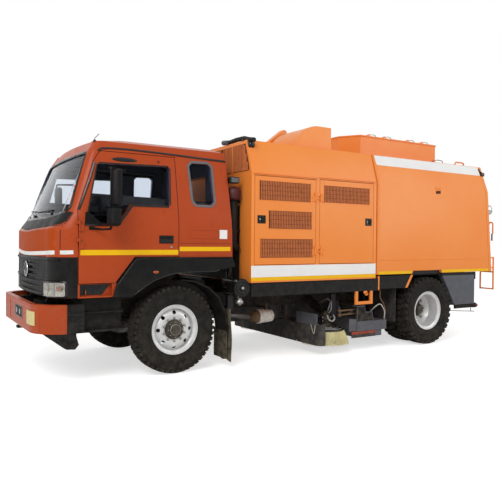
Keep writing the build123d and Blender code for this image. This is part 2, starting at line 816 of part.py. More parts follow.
def brush_skirt():
    """Rubber curtain ahead of the brush, curled back at its outer end."""
    x = shield_x
    front = [(x - 8, shield_y[0]), (x - 8, 1075), (x - 20, 1130), (x - 50, 1163), (x - 120, 1170)]
    back = [(x - 120, 1160), (x - 54, 1153), (x - 29, 1124), (x - 18, 1073), (x - 18, shield_y[0])]
    return plan_plate(front + back, skirt_z)


def rubber_apron():
    """Middle curtain across the truck, on a bar hung from the rails."""
    curtain = block((shield_x - 18, shield_x - 8), (-apron_half, apron_half), skirt_z)
    bar = block((shield_x - 8, shield_x + 30), (-apron_half, apron_half), (380, 430))
    hanger = block((shield_x - 5, shield_x + 28), (rail_inner_y, rail_outer_y), (420, rail_z[0]))
    return fuse(curtain, bar, *pair(hanger))


# ---------------------------------------------------------------- cab
# Plan sections of the cab, from the sill to the roof.
# Columns: height, rear, end of the flat side, half width, shoulder x, shoulder y, front.
cab_sections = (
    (955, -763, 1150, 1090, 1430, 770, 1486),
    (1700, -748, 1150, 1090, 1425, 770, 1478),
    (1860, -740, 1090, 1085, 1300, 840, 1370),
    (2600, -725, 920, 948, 1000, 850, 1040),
    (2710, -715, 840, 890, 925, 750, 975),
    (2780, -650, 500, 620, 620, 420, 700),
)


def cab_plan(section, inset, z):
    _, rear, side_x, half, shoulder_x, shoulder_y, front = section
    rear = ahead(rear + inset)
    side_x = ahead(side_x)
    half = half - inset
    shoulder_x = ahead(shoulder_x - inset * 0.8)
    shoulder_y = shoulder_y - inset * 0.5
    front = ahead(front - inset)
    edges = [
        Line((rear, -half, z), (side_x, -half, z)),
        TangentArc((side_x, -half, z), (shoulder_x, -shoulder_y, z), tangent=(1, 0, 0)),
        ThreePointArc((shoulder_x, -shoulder_y, z), (front, 0, z), (shoulder_x, shoulder_y, z)),
        TangentArc((side_x, half, z), (shoulder_x, shoulder_y, z), tangent=(1, 0, 0)),
        Line((side_x, half, z), (rear, half, z)),
        Line((rear, half, z), (rear, -half, z)),
    ]
    return make_face(Curve() + edges)


def cab_body(inset):
    """Solid with the cab's outer form, less an inset all round."""
    faces = []
    last = len(cab_sections) - 1
    for index, section in enumerate(cab_sections):
        z = section[0]
        if index == 0 and inset:
            z = z - 5
        if index >= last - 1:
            z = z - inset
        faces.append(cab_plan(section, inset, z))
    return loft(faces, ruled=True)


door_outline = ((1160, 1113), (1160, 1916), (960, 2480), (905, 2560), (880, 2585), (-15, 2585),
                (-15, 1400), (527, 1400), (752, 1113))
door_window = ((1082, 1764), (920, 2440), (62, 2461), (88, 1996), (560, 1993), (736, 1763))
quarter_window = ((-244, 2533), (-458, 2537), (-499, 2498), (-505, 2068), (-466, 2028),
                  (-268, 2028), (-229, 2068), (-206, 2494))
wing_outline = ((786, 945), (737, 1111), (515, 1394), (-745, 1390), (-789, 1267), (-606, 1231),
                (-510, 1211), (-10, 1205), (206, 1157), (405, 1064), (547, 964), (560, 945))
# Room between the wing and the door, whose inner edge swings back as it opens.
door_room = ((737, 1111), (515, 1394), (-20, 1391), (-20, 1400), (527, 1400), (752, 1113))
windscreen = ((-985, 1905), (-500, 1850), (500, 1850), (985, 1905), (850, 2560), (-850, 2560))
wing_y = (1025, 1120)
grille_depth = 40
grille_z = (960, 1400)
grille_x = ahead(1168)


def prism(points, y, grow=0):
    """Cab side outline as a solid across a span of Y, grown or shrunk all round."""
    outline = [(ahead(px), pz) for px, pz in points]
    face = make_face(Polyline(*[(px, pz) for px, pz in outline], close=True))
    if grow:
        face = offset(face, amount=grow, kind=Kind.INTERSECTION)
    face = Plane.XZ * face
    solid = extrude(face, amount=-(y[1] - y[0]))
    return Pos(0, y[0], 0) * solid


def rear_window(grow):
    """Opening in the cab's back wall, grown or shrunk all round."""
    return block((ahead(-900), ahead(-600)), (-500 - grow, 500 + grow), (2000 - grow, 2450 + grow))


def screen_prism(grow):
    face = make_face(Polyline(*windscreen, close=True))
    if grow:
        face = offset(face, amount=grow, kind=Kind.INTERSECTION)
    face = Plane(origin=(ahead(700), 0, 0), x_dir=(0, 1, 0), z_dir=(1, 0, 0)) * face
    return extrude(face, amount=900)


door_hinge = (ahead(1150), 1104)
door_hinge_radius = 9
door_hinge_heights = (1530, 1720)
door_hinge_half = 38
door_leaf = 45
sill_recess = ((ahead(790), ahead(1148)), (1040, 1300), (975, 1104))


def cab_hinge():
    """Fixed halves of the left cab door's hinges, on the post ahead of the door."""
    x, y = door_hinge
    post = ahead(1160) + panel_gap
    parts = []
    for height in door_hinge_heights:
        z = (height + door_hinge_half + seat_gap, height + 2 * door_hinge_half)
        parts.append(round_z(door_hinge_radius, z, x, y))
        parts.append(block((x, post + 22), (y - 6, y + 3), z))
        parts.append(block((post + 2, post + 22), (y - 40, y), z))
    return fuse(*parts)


def door_leaves():
    """Moving halves of the left cab door's hinges."""
    x, y = door_hinge
    parts = []
    for height in door_hinge_heights:
        z = (height - door_hinge_half, height + door_hinge_half)
        parts.append(round_z(door_hinge_radius, z, x, y))
        parts.append(block((x - door_leaf, x), (y - 20, y), z))
    return fuse(*parts)


outer = cab_body(0)
inner = cab_body(cab_wall)
glass_shell = cab_body(14) - cab_body(20)
side_y = (700, 1200)
glass_fit = -seat_gap


def tilt_arm():
    """Arm from the cab floor down to the tilt pin, outside the rail."""
    points = [(28, -30), (28, 12), (-95, 190), (-190, 395), (-320, 395), (-40, -30)]
    outline = [(cab_tilt_x + px, cab_tilt_z + pz) for px, pz in points]
    arm = side_plate(outline, (rail_outer_y + 10, rail_outer_y + 40))
    hole = round_y(cab_pin_radius + pin_clearance, (400, 500), cab_tilt_x, cab_tilt_z)
    return arm - hole


def cab_shell():
    platform = block((ahead(-900), cab_step_x), (-1200, 1200), (900, cab_platform_z))
    floor = block((cab_step_x, ahead(1600)), (-1200, 1200), (900, cab_floor_z))
    hollow = inner - platform - floor
    shell = outer - hollow
    shell = shell - block((ahead(-900), cab_step_x), (-1200, 1200), (900, cab_platform_z - 60))
    shell = shell - block((cab_step_x + 70, ahead(1320)), (-1000, 1000), (900, cab_floor_z - 60))
    for side in (1, -1):
        span = sorted((side * side_y[0], side * side_y[1]))
        shell = shell - prism(door_outline, span, panel_gap)
        shell = shell - prism(quarter_window, span)
        wing_span = sorted((side * wing_y[0], side * 1300))
        shell = shell - prism(wing_outline, wing_span) - prism(door_room, span)
    for recess in pair(block(*sill_recess)):
        shell = shell - recess
    shell = shell - screen_prism(0)
    shell = shell - rear_window(0) - grille_region()
    return fuse(shell, *pair(tilt_arm()), *pair(cab_hinge()))


def grille_region():
    region = block((grille_x, ahead(1600)), (-1200, 1200), (945, grille_z[1]))
    return region - cab_body(grille_depth)


lamp_x = ahead(1262)
lamp_y = (688, 1061)
lamp_z = (966, 1122)


def lamp_box(side):
    return block((lamp_x, ahead(1600)), sorted((side * lamp_y[0], side * lamp_y[1])), lamp_z)


def cab_grille():
    ring = outer - cab_body(grille_depth)
    panel = ring & block((grille_x, ahead(1600)), (-1200, 1200), grille_z)
    for side in (1, -1):
        panel = panel - lamp_box(side)
    bars = 6
    for index in range(bars):
        z0 = 1000 + index * 62
        slot = block((ahead(1450), ahead(1600)), (-640, 640), (z0, z0 + 36))
        panel = panel - slot
    return panel


def headlamps():
    ring = outer - cab_body(grille_depth)
    lamps = [ring & lamp_box(side) for side in (1, -1)]
    return fuse(*lamps)


def cab_glass():
    screen = glass_shell & screen_prism(glass_fit)
    parts = [screen]
    for side in (1, -1):
        span = sorted((side * side_y[0], side * side_y[1]))
        parts.append(glass_shell & prism(quarter_window, span, glass_fit))
    parts.append(glass_shell & rear_window(glass_fit))
    return fuse(*parts)


def cab_wings():
    wing = prism(wing_outline, wing_y)
    return fuse(wing, flipped(wing))


def cab_door():
    wall = outer - inner
    door = wall & prism(door_outline, side_y)
    return fuse(door - prism(door_window, side_y), door_leaves())


def door_glass():
    return glass_shell & prism(door_window, side_y, glass_fit)


def mirror_left():
    head = block((ahead(790), ahead(830)), (1190, 1400), (1950, 2345))
    low = block((ahead(790), ahead(830)), (1190, 1400), (1755, 1925))
    post = round_z(14, (1700, 2380), ahead(850), 1230)
    arm_top = rod_between((ahead(850), 1230, 2370), (ahead(620), 1010, 2370), 12)
    arm_low = rod_between((ahead(850), 1230, 1710), (ahead(1000), 1084, 1690), 12)
    link = block((ahead(800), ahead(851)), (1222, 1238), (1900, 1980))
    return fuse(head, low, post, arm_top, arm_low, link)


def cab_interior():
    seat_z = cab_platform_z
    driver = block((ahead(-300), ahead(200)), (-820, -320), (seat_z, seat_z + 130))
    driver_back = block((ahead(-340), ahead(-230)), (-800, -340), (seat_z + 130, seat_z + 780))
    bench = block((ahead(-300), ahead(200)), (60, 860), (seat_z, seat_z + 130))
    bench_back = block((ahead(-340), ahead(-230)), (80, 840), (seat_z + 130, seat_z + 780))
    dash = block((ahead(1080), ahead(1250)), (-900, 900), (cab_floor_z + 250, 1740))
    dash_foot = block((ahead(1150), ahead(1250)), (-200, 200), (cab_floor_z, cab_floor_z + 260))
    column = rod_between((ahead(1100), -520, 1600), (ahead(786), -520, 1841), 30)
    wheel = Pos(ahead(790), -520, 1838) * Rot(0, -52.5, 0) * Torus(215, 16)
    spoke = Pos(ahead(790), -520, 1838) * Rot(0, -52.5, 0) * Box(30, 420, 14)
    return fuse(driver, driver_back, bench, bench_back, dash, dash_foot, column, wheel, spoke)


# ---------------------------------------------------------------- steering
arm_z = (395, 425)


def knuckle():
    """Left steering knuckle: fork on the kingpin, stub axle, brake drum and arm."""
    x0 = front_axle_x
    kingpin = round_z(kingpin_radius, (arm_z[0], 600), x0, kingpin_y)
    top = block((x0 - 40, x0 + 40), (kingpin_y - 35, 850), (565, 600))
    low = block((x0 - 40, x0 + 40), (kingpin_y - 35, 850), arm_z)
    web = block((x0 - 40, x0 + 40), (825, 850), (arm_z[0], 600))
    stub = round_y(front_spindle_radius, (825, front_wheel_y + 60), x0, axle_z)
    plate = round_y(190, (850, 862), x0, axle_z)
    drum = round_y(190, (862, 945), x0, axle_z) - round_y(105, (860, 950), x0, axle_z)
    arm = block((x0 - steering_arm_length - 25, x0 + 10), (kingpin_y - 50, kingpin_y - 20), arm_z)
    return fuse(kingpin, top, low, web, stub, plate, drum, arm)


def track_rod():
    x0 = front_axle_x - steering_arm_length
    reach = kingpin_y - 35
    low = arm_z[1] + seat_gap
    rod = round_y(16, (-reach, reach), x0, low + 22)
    ends = [block((x0 - 22, x0 + 22), sorted((side * reach, side * (reach - 50))),
                  (low, low + 40)) for side in (1, -1)]
    return fuse(rod, *ends)


# ---------------------------------------------------------------- wheels
# Tyre section: radius and distance from the middle plane.
tyre_profile = ((bead_radius, 94), (303, 94), (330, 128), (410, tyre_half_width), (490, 130),
                (tyre_radius, 100))


def revolved(points, x, y, z):
    """Ring turned about the wheel's axis from a section of radius and offset."""
    face = make_face(Polyline(*points, close=True))
    return Pos(x, y, z) * revolve(face, axis=Axis.Y)


def tyre(x, y):
    points = list(tyre_profile) + [(r, -half) for r, half in reversed(tyre_profile)]
    return revolved(points, x, y, axle_z)


def rim_barrel(x, y):
    seat = bead_radius - seat_gap
    wall = seat - rim_thickness
    half = rim_half_width
    lip = half - 9
    points = [(wall, -half), (flange_radius, -half), (flange_radius, -lip), (seat, -lip),
              (seat, lip), (flange_radius, lip), (flange_radius, half), (wall, half)]
    return revolved(points, x, y, axle_z)


hand_holes = 8
hand_hole_radius = 24
hand_hole_circle = 205


def front_rim():
    x, y = front_axle_x, front_wheel_y
    wall = bead_radius - seat_gap - rim_thickness
    disc = revolved([(wall + 2, 18), (wall + 2, 34), (185, 66), (70, 74), (70, 60), (180, 50)],
                    x, y, axle_z)
    hub = round_y(88, (y - 60, y + 92), x, axle_z)
    cap = round_y(60, (y + 90, y + 112), x, axle_z)
    rim = fuse(rim_barrel(x, y), disc, hub, cap)
    for hole in PolarLocations(hand_hole_circle, hand_holes):
        place = Pos(x, y + 50, axle_z) * Rot(90, 0, 0) * hole
        rim = rim - place * Cylinder(hand_hole_radius, 100)
    bore = round_y(front_spindle_radius + pin_clearance, (y - 70, y + 62), x, axle_z)
    return rim - bore


def rear_rims():
    x, y = rear_axle_x, rear_wheel_y
    half = dual_spacing / 2
    wall = bead_radius - seat_gap - rim_thickness
    outer_disc = revolved([(wall + 2, half - 90), (wall + 2, half - 72), (200, 16), (100, 16),
                           (100, 0), (205, 0)], x, y, axle_z)
    inner_disc = revolved([(wall + 2, 90 - half), (wall + 2, 72 - half), (200, -16), (100, -16),
                           (100, 0), (205, 0)], x, y, axle_z)
    hub = round_y(112, (y - 200, y + 120), x, axle_z)
    rims = fuse(rim_barrel(x, y + half), rim_barrel(x, y - half), outer_disc, inner_disc, hub)
    for hole in PolarLocations(170, hand_holes):
        place = Pos(x, y, axle_z) * Rot(90, 0, 0) * hole
        rims = rims - place * Cylinder(26, 60)
    bore = round_y(rear_spindle_radius + pin_clearance, (y - 210, y + 75), x, axle_z)
    return rims - bore


def rear_tyres():
    half = dual_spacing / 2
    return tyre(rear_axle_x, rear_wheel_y + half) + tyre(rear_axle_x, rear_wheel_y - half)


# ---------------------------------------------------------------- write every piece
save(chassis_frame(), "chassis_frame")
save(frame_members(), "frame_members")
save(outrigger_beams(), "outrigger_beams")
save(front_axle(), "front_axle")
save(rear_axle(), "rear_axle")
save(power_train(), "power_train")
save(auxiliary_engine(), "auxiliary_engine")
save(front_bumper(), "front_bumper")
save(cab_steps(), "cab_steps")
save(front_mudguards(), "front_mudguards")
save(fuel_tank(), "fuel_tank")
save(air_cleaner(), "air_cleaner")
save(exhaust_pipe(), "exhaust_pipe")
save(canopy_shell(), "canopy_shell")
save(roof_pods(), "roof_pods")
for door_name in canopy_doors:
    save_sides(canopy_door(door_name), "canopy_door_" + door_name)
save(hopper_shell(), "hopper_shell")
save(tailgate(), "tailgate")
save(rear_ladder(), "rear_ladder")
save(ram_barrel(), "ram_barrel")
save(ram_rod(), "ram_rod")
save(body_skirts(), "body_skirts")
save(side_lockers(), "side_lockers")
save(rear_underrun(), "rear_underrun")
save(suction_nozzle(), "suction_nozzle")
save(orange_hangers(), "orange_hangers")
save_sides(brush(), "brush")
save_sides(brush_arm(), "brush_arm")
save_sides(brush_skirt(), "brush_skirt")
save(rubber_apron(), "rubber_apron")
save(cab_shell(), "cab_shell")
save(cab_grille(), "cab_grille")
save(headlamps(), "headlamps")
save(cab_glass(), "cab_glass")
save(cab_wings(), "cab_wings")
save(cab_interior(), "cab_interior")
save_sides(cab_door(), "cab_door")
save_sides(door_glass(), "door_glass")
save_sides(mirror_left(), "mirror")
save_sides(knuckle(), "knuckle")
save(track_rod(), "track_rod")
save_sides(tyre(front_axle_x, front_wheel_y), "front_tyre")
save_sides(front_rim(), "front_rim")
save_sides(rear_tyres(), "rear_tyres")
save_sides(rear_rims(), "rear_rims")
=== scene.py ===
"""Street sweeper truck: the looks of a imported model, as pieces that ride on its bodies.

Lengths are metres in the model's own frame: +X ahead, +Y to the truck's left, +Z up,
with the ground at zero. Tables in millimetres are measured from the front axle.
"""
import json
import math

import bmesh
import bpy
from mathutils import Matrix, Vector
from mathutils.bvhtree import BVHTree


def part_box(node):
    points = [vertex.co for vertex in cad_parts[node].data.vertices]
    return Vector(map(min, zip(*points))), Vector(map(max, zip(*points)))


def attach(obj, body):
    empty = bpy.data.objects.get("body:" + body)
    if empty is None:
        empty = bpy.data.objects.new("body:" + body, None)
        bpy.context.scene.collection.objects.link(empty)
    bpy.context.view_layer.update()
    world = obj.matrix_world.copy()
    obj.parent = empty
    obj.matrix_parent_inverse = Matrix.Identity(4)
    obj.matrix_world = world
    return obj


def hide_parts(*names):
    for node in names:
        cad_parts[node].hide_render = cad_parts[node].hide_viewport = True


bl_info = {
    "name": "Street Sweeper Truck",
    "version": (1, 0, 0),
    "blender": (4, 5, 0),
    "location": "View3D > Sidebar > Sweeper",
    "description": "Builds the finished pieces of a street sweeper truck on its packed frame",
    "category": "Add Mesh",
}

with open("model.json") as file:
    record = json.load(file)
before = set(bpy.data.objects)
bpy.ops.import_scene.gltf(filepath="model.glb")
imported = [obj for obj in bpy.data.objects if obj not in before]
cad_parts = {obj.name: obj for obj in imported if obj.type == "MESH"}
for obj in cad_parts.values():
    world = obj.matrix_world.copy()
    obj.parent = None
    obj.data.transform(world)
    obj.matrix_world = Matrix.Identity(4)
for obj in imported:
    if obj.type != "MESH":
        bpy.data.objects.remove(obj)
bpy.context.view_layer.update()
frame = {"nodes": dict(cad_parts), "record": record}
BODY_OF = {n: b for b, nodes in frame["record"]["behaviour"]["bodies"].items() for n in nodes}
AXLE_X = (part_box("front_rim_left")[0].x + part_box("front_rim_left")[1].x) / 2
REAR_X = (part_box("rear_rims_left")[0].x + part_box("rear_rims_left")[1].x) / 2
AXLE_Z = 0.525
MM = 0.001
SIDES = {1: "left", -1: "right"}
# Radius in mm at which a turned part is closed at its axis.
AXIS = 0.1


# ---------------------------------------------------------------- helpers
def at(x, y, z):
    """Point from millimetres measured ahead of the front axle."""
    return Vector((AXLE_X + x * MM, y * MM, z * MM))


def linear(code):
    """Linear RGBA of an sRGB hex colour."""
    parts = [int(code[i:i + 2], 16) / 255 for i in (1, 3, 5)]
    return [c / 12.92 if c <= 0.04045 else ((c + 0.055) / 1.055) ** 2.4 for c in parts] + [1.0]


def add(tree, kind, links=(), **settings):
    """Adds a node. Settings are its properties, or values of its inputs by number or name."""
    item = tree.nodes.new(kind)
    values = settings.pop("values", {})
    for name, value in settings.items():
        setattr(item, name, value)
    for key, value in values.items():
        item.inputs[key].default_value = value
    for key, source in dict(links).items():
        tree.links.new(source, item.inputs[key])
    return item


def linked(name, data):
    """New object in the scene."""
    obj = bpy.data.objects.new(name, data)
    bpy.context.scene.collection.objects.link(obj)
    return obj


def mesh_piece(name, points, faces, smooth=False):
    """Object at the origin from points and faces."""
    mesh = bpy.data.meshes.new(name)
    mesh.from_pydata([tuple(p) for p in points], [], faces)
    mesh.validate()
    mesh.update()
    if smooth:
        mesh.shade_smooth()
    return linked(name, mesh)


def join(name, parts):
    """One piece from several, each with its materials kept."""
    mesh = bpy.data.meshes.new(name)
    build = bmesh.new()
    for part in parts:
        offset = len(mesh.materials)
        for material in part.data.materials:
            mesh.materials.append(material)
        start = len(build.faces)
        build.from_mesh(part.data)
        build.faces.ensure_lookup_table()
        for face in build.faces[start:]:
            face.material_index += offset
        bpy.data.objects.remove(part)
    build.to_mesh(mesh)
    build.free()
    return linked(name, mesh)


def settled(obj):
    """The piece with its modifiers applied, as a plain mesh."""
    graph = bpy.context.evaluated_depsgraph_get()
    mesh = bpy.data.meshes.new_from_object(obj.evaluated_get(graph), depsgraph=graph)
    mesh.name = obj.name
    if obj.type != "MESH":
        fresh = linked(obj.name + "_mesh", mesh)
        name = obj.name
        bpy.data.objects.remove(obj)
        fresh.name = name
        return fresh
    obj.modifiers.clear()
    obj.data = mesh
    return obj


def outward(obj):
    """Doubles merged and faces turned outwards."""
    build = bmesh.new()
    build.from_mesh(obj.data)
    bmesh.ops.remove_doubles(build, verts=build.verts, dist=1e-5)
    bmesh.ops.recalc_face_normals(build, faces=build.faces)
    build.to_mesh(obj.data)
    build.free()
    return obj


def rounded(obj, radius, segments=2, angle=30):
    """Edges rounded by a real radius, and the shading evened out."""
    bevel = obj.modifiers.new("edge", "BEVEL")
    bevel.width = radius
    bevel.segments = segments
    bevel.limit_method = "ANGLE"
    bevel.angle_limit = math.radians(angle)
    bevel.harden_normals = True
    obj.data.shade_smooth()
    return settled(obj)


def painted(obj, finish):
    """Piece with one finish all over."""
    obj.data.materials.clear()
    obj.data.materials.append(surface(finish))
    return obj


def fitted(obj, body, replaces=()):
    """Piece set on its body and what it stands for."""
    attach(obj, body)
    if replaces:
        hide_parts(*replaces)
    return obj


def slab(name, outline, axis, low, high):
    """Closed outline in the two other axes, drawn out along one axis. All in metres."""
    count = len(outline)
    points = []
    for reach in (low, high):
        points += [{"x": (reach, a, b), "y": (a, reach, b), "z": (a, b, reach)}[axis] for a, b in outline]
    sides = [(i, (i + 1) % count, count + (i + 1) % count, count + i) for i in range(count)]
    faces = [tuple(range(count))[::-1], tuple(range(count, 2 * count)), *sides]
    return outward(mesh_piece(name, points, faces))


def side_slab(name, outline, y0, y1):
    """Outline in millimetres ahead and up, drawn out across the truck."""
    return slab(name, [(AXLE_X + x * MM, z * MM) for x, z in outline], "y", y0 * MM, y1 * MM)


def brick(name, low, high):
    """Upright box between two corners in millimetres from the front axle."""
    (x0, y0, z0), (x1, y1, z1) = low, high
    return side_slab(name, [(x0, z0), (x1, z0), (x1, z1), (x0, z1)], y0, y1)


def tube(name, points, radius, sides=12, closed=False):
    """Round bar or pipe along points in metres."""
    curve = bpy.data.curves.new(name, "CURVE")
    curve.dimensions = "3D"
    line = curve.splines.new("POLY")
    line.points.add(len(points) - 1)
    for point, place in zip(line.points, points):
        point.co = (*place, 1.0)
    line.use_cyclic_u = closed
    curve.bevel_depth = radius
    curve.bevel_resolution = max(1, sides // 4 - 1)
    curve.use_fill_caps = True
    obj = settled(linked(name, curve))
    obj.data.shade_smooth()
    return outward(obj)


def bent(corners, radius, steps=5):
    """Path through corners, each turned on an arc."""
    points = [Vector(corners[0])]
    for before, corner, after in zip(corners, corners[1:], corners[2:]):
        before, corner, after = Vector(before), Vector(corner), Vector(after)
        one, two = (before - corner).normalized(), (after - corner).normalized()
        half = one.angle(two) / 2
        shorter = min((before - corner).length, (after - corner).length)
        reach = min(radius / math.tan(half), 0.45 * shorter)
        size = reach * math.tan(half)
        centre = corner + (one + two).normalized() * size / math.sin(half)
        start, end = corner + one * reach - centre, corner + two * reach - centre
        points += [centre + start.slerp(end, i / steps).normalized() * size for i in range(steps + 1)]
    return points + [Vector(corners[-1])]


def turned(name, profile, centre, axis="y", segments=64, closed=True):
    """Ring or disc turned about an axis, from (radius, distance) pairs in metres."""
    count = len(profile)
    points, faces = [], []
    for i in range(segments):
        turn = 2 * math.pi * i / segments
        for radius, reach in profile:
            a, b = radius * math.cos(turn), radius * math.sin(turn)
            spot = {"y": (a, reach, b), "z": (a, b, reach), "x": (reach, a, b)}[axis]
            points.append(Vector(spot) + Vector(centre))
    last = count if closed else count - 1
    for i in range(segments):
        j = (i + 1) % segments
        for k in range(last):
            m = (k + 1) % count
            faces.append((i * count + k, i * count + m, j * count + m, j * count + k))
    obj = outward(mesh_piece(name, points, faces))
    obj.data.shade_smooth()
    return obj


def sharpened(obj, angle=35):
    """Smooth shading with edges kept above an angle."""
    obj.data.set_sharp_from_angle(angle=math.radians(angle))
    return obj


def flipped(obj, name):
    """Copy on the other side of the truck, with its faces still outwards."""
    mesh = obj.data.copy()
    mesh.transform(Matrix.Scale(-1, 4, (0, 1, 0)))
    mesh.flip_normals()
    return linked(name, mesh)


# ---------------------------------------------------------------- repeats
def copies_tree():
    """Geometry Nodes tree: copies of a piece, each moved and turned on from the last."""
    if "copies" in bpy.data.node_groups:
        return bpy.data.node_groups["copies"]
    tree = bpy.data.node_groups.new("copies", "GeometryNodeTree")
    face = tree.interface
    face.new_socket("Geometry", in_out="INPUT", socket_type="NodeSocketGeometry")
    for name, kind in (("Count", "Int"), ("Step", "Vector"), ("Turn", "Vector"), ("Centre", "Vector"),
                       ("Material", "Material")):
        face.new_socket(name, in_out="INPUT", socket_type="NodeSocket" + kind)
    face.new_socket("Geometry", in_out="OUTPUT", socket_type="NodeSocketGeometry")
    start = add(tree, "NodeGroupInput").outputs
    line = add(tree, "GeometryNodeMeshLine", {"Count": start["Count"]}, values={"Offset": (0, 0, 0)})
    spots = add(tree, "GeometryNodeInstanceOnPoints",
                {"Points": line.outputs[0], "Instance": start["Geometry"]})
    index = add(tree, "GeometryNodeInputIndex").outputs[0]
    step = add(tree, "ShaderNodeVectorMath", {0: start["Step"], "Scale": index}, operation="SCALE")
    turn = add(tree, "ShaderNodeVectorMath", {0: start["Turn"], "Scale": index}, operation="SCALE")
    moved = add(tree, "GeometryNodeTranslateInstances",
                {"Instances": spots.outputs[0], "Translation": step.outputs[0]},
                values={"Local Space": False})
    spun = add(tree, "GeometryNodeRotateInstances",
               {"Instances": moved.outputs[0], "Rotation": turn.outputs[0], "Pivot Point": start["Centre"]},
               values={"Local Space": False})
    real = add(tree, "GeometryNodeRealizeInstances", {0: spun.outputs[0]})
    coloured = add(tree, "GeometryNodeSetMaterial",
                   {"Geometry": real.outputs[0], "Material": start["Material"]})
    add(tree, "NodeGroupOutput", {0: coloured.outputs[0]})
    return tree


def set_inputs(modifier, values):
    """Values of a Geometry Nodes modifier, set by each socket's identifier."""
    for item in modifier.node_group.interface.items_tree:
        if item.item_type == "SOCKET" and item.in_out == "INPUT" and item.name in values:
            modifier[item.identifier] = values[item.name]


def copies(obj, count, material, step=(0, 0, 0), turn=(0, 0, 0), centre=(0, 0, 0)):
    """Row or ring of copies of a piece, as one plain mesh."""
    modifier = obj.modifiers.new("copies", "NODES")
    modifier.node_group = copies_tree()
    set_inputs(modifier, {"Count": count, "Step": list(step), "Turn": list(turn), "Centre": list(centre),
                          "Material": surface(material)})
    return settled(obj)


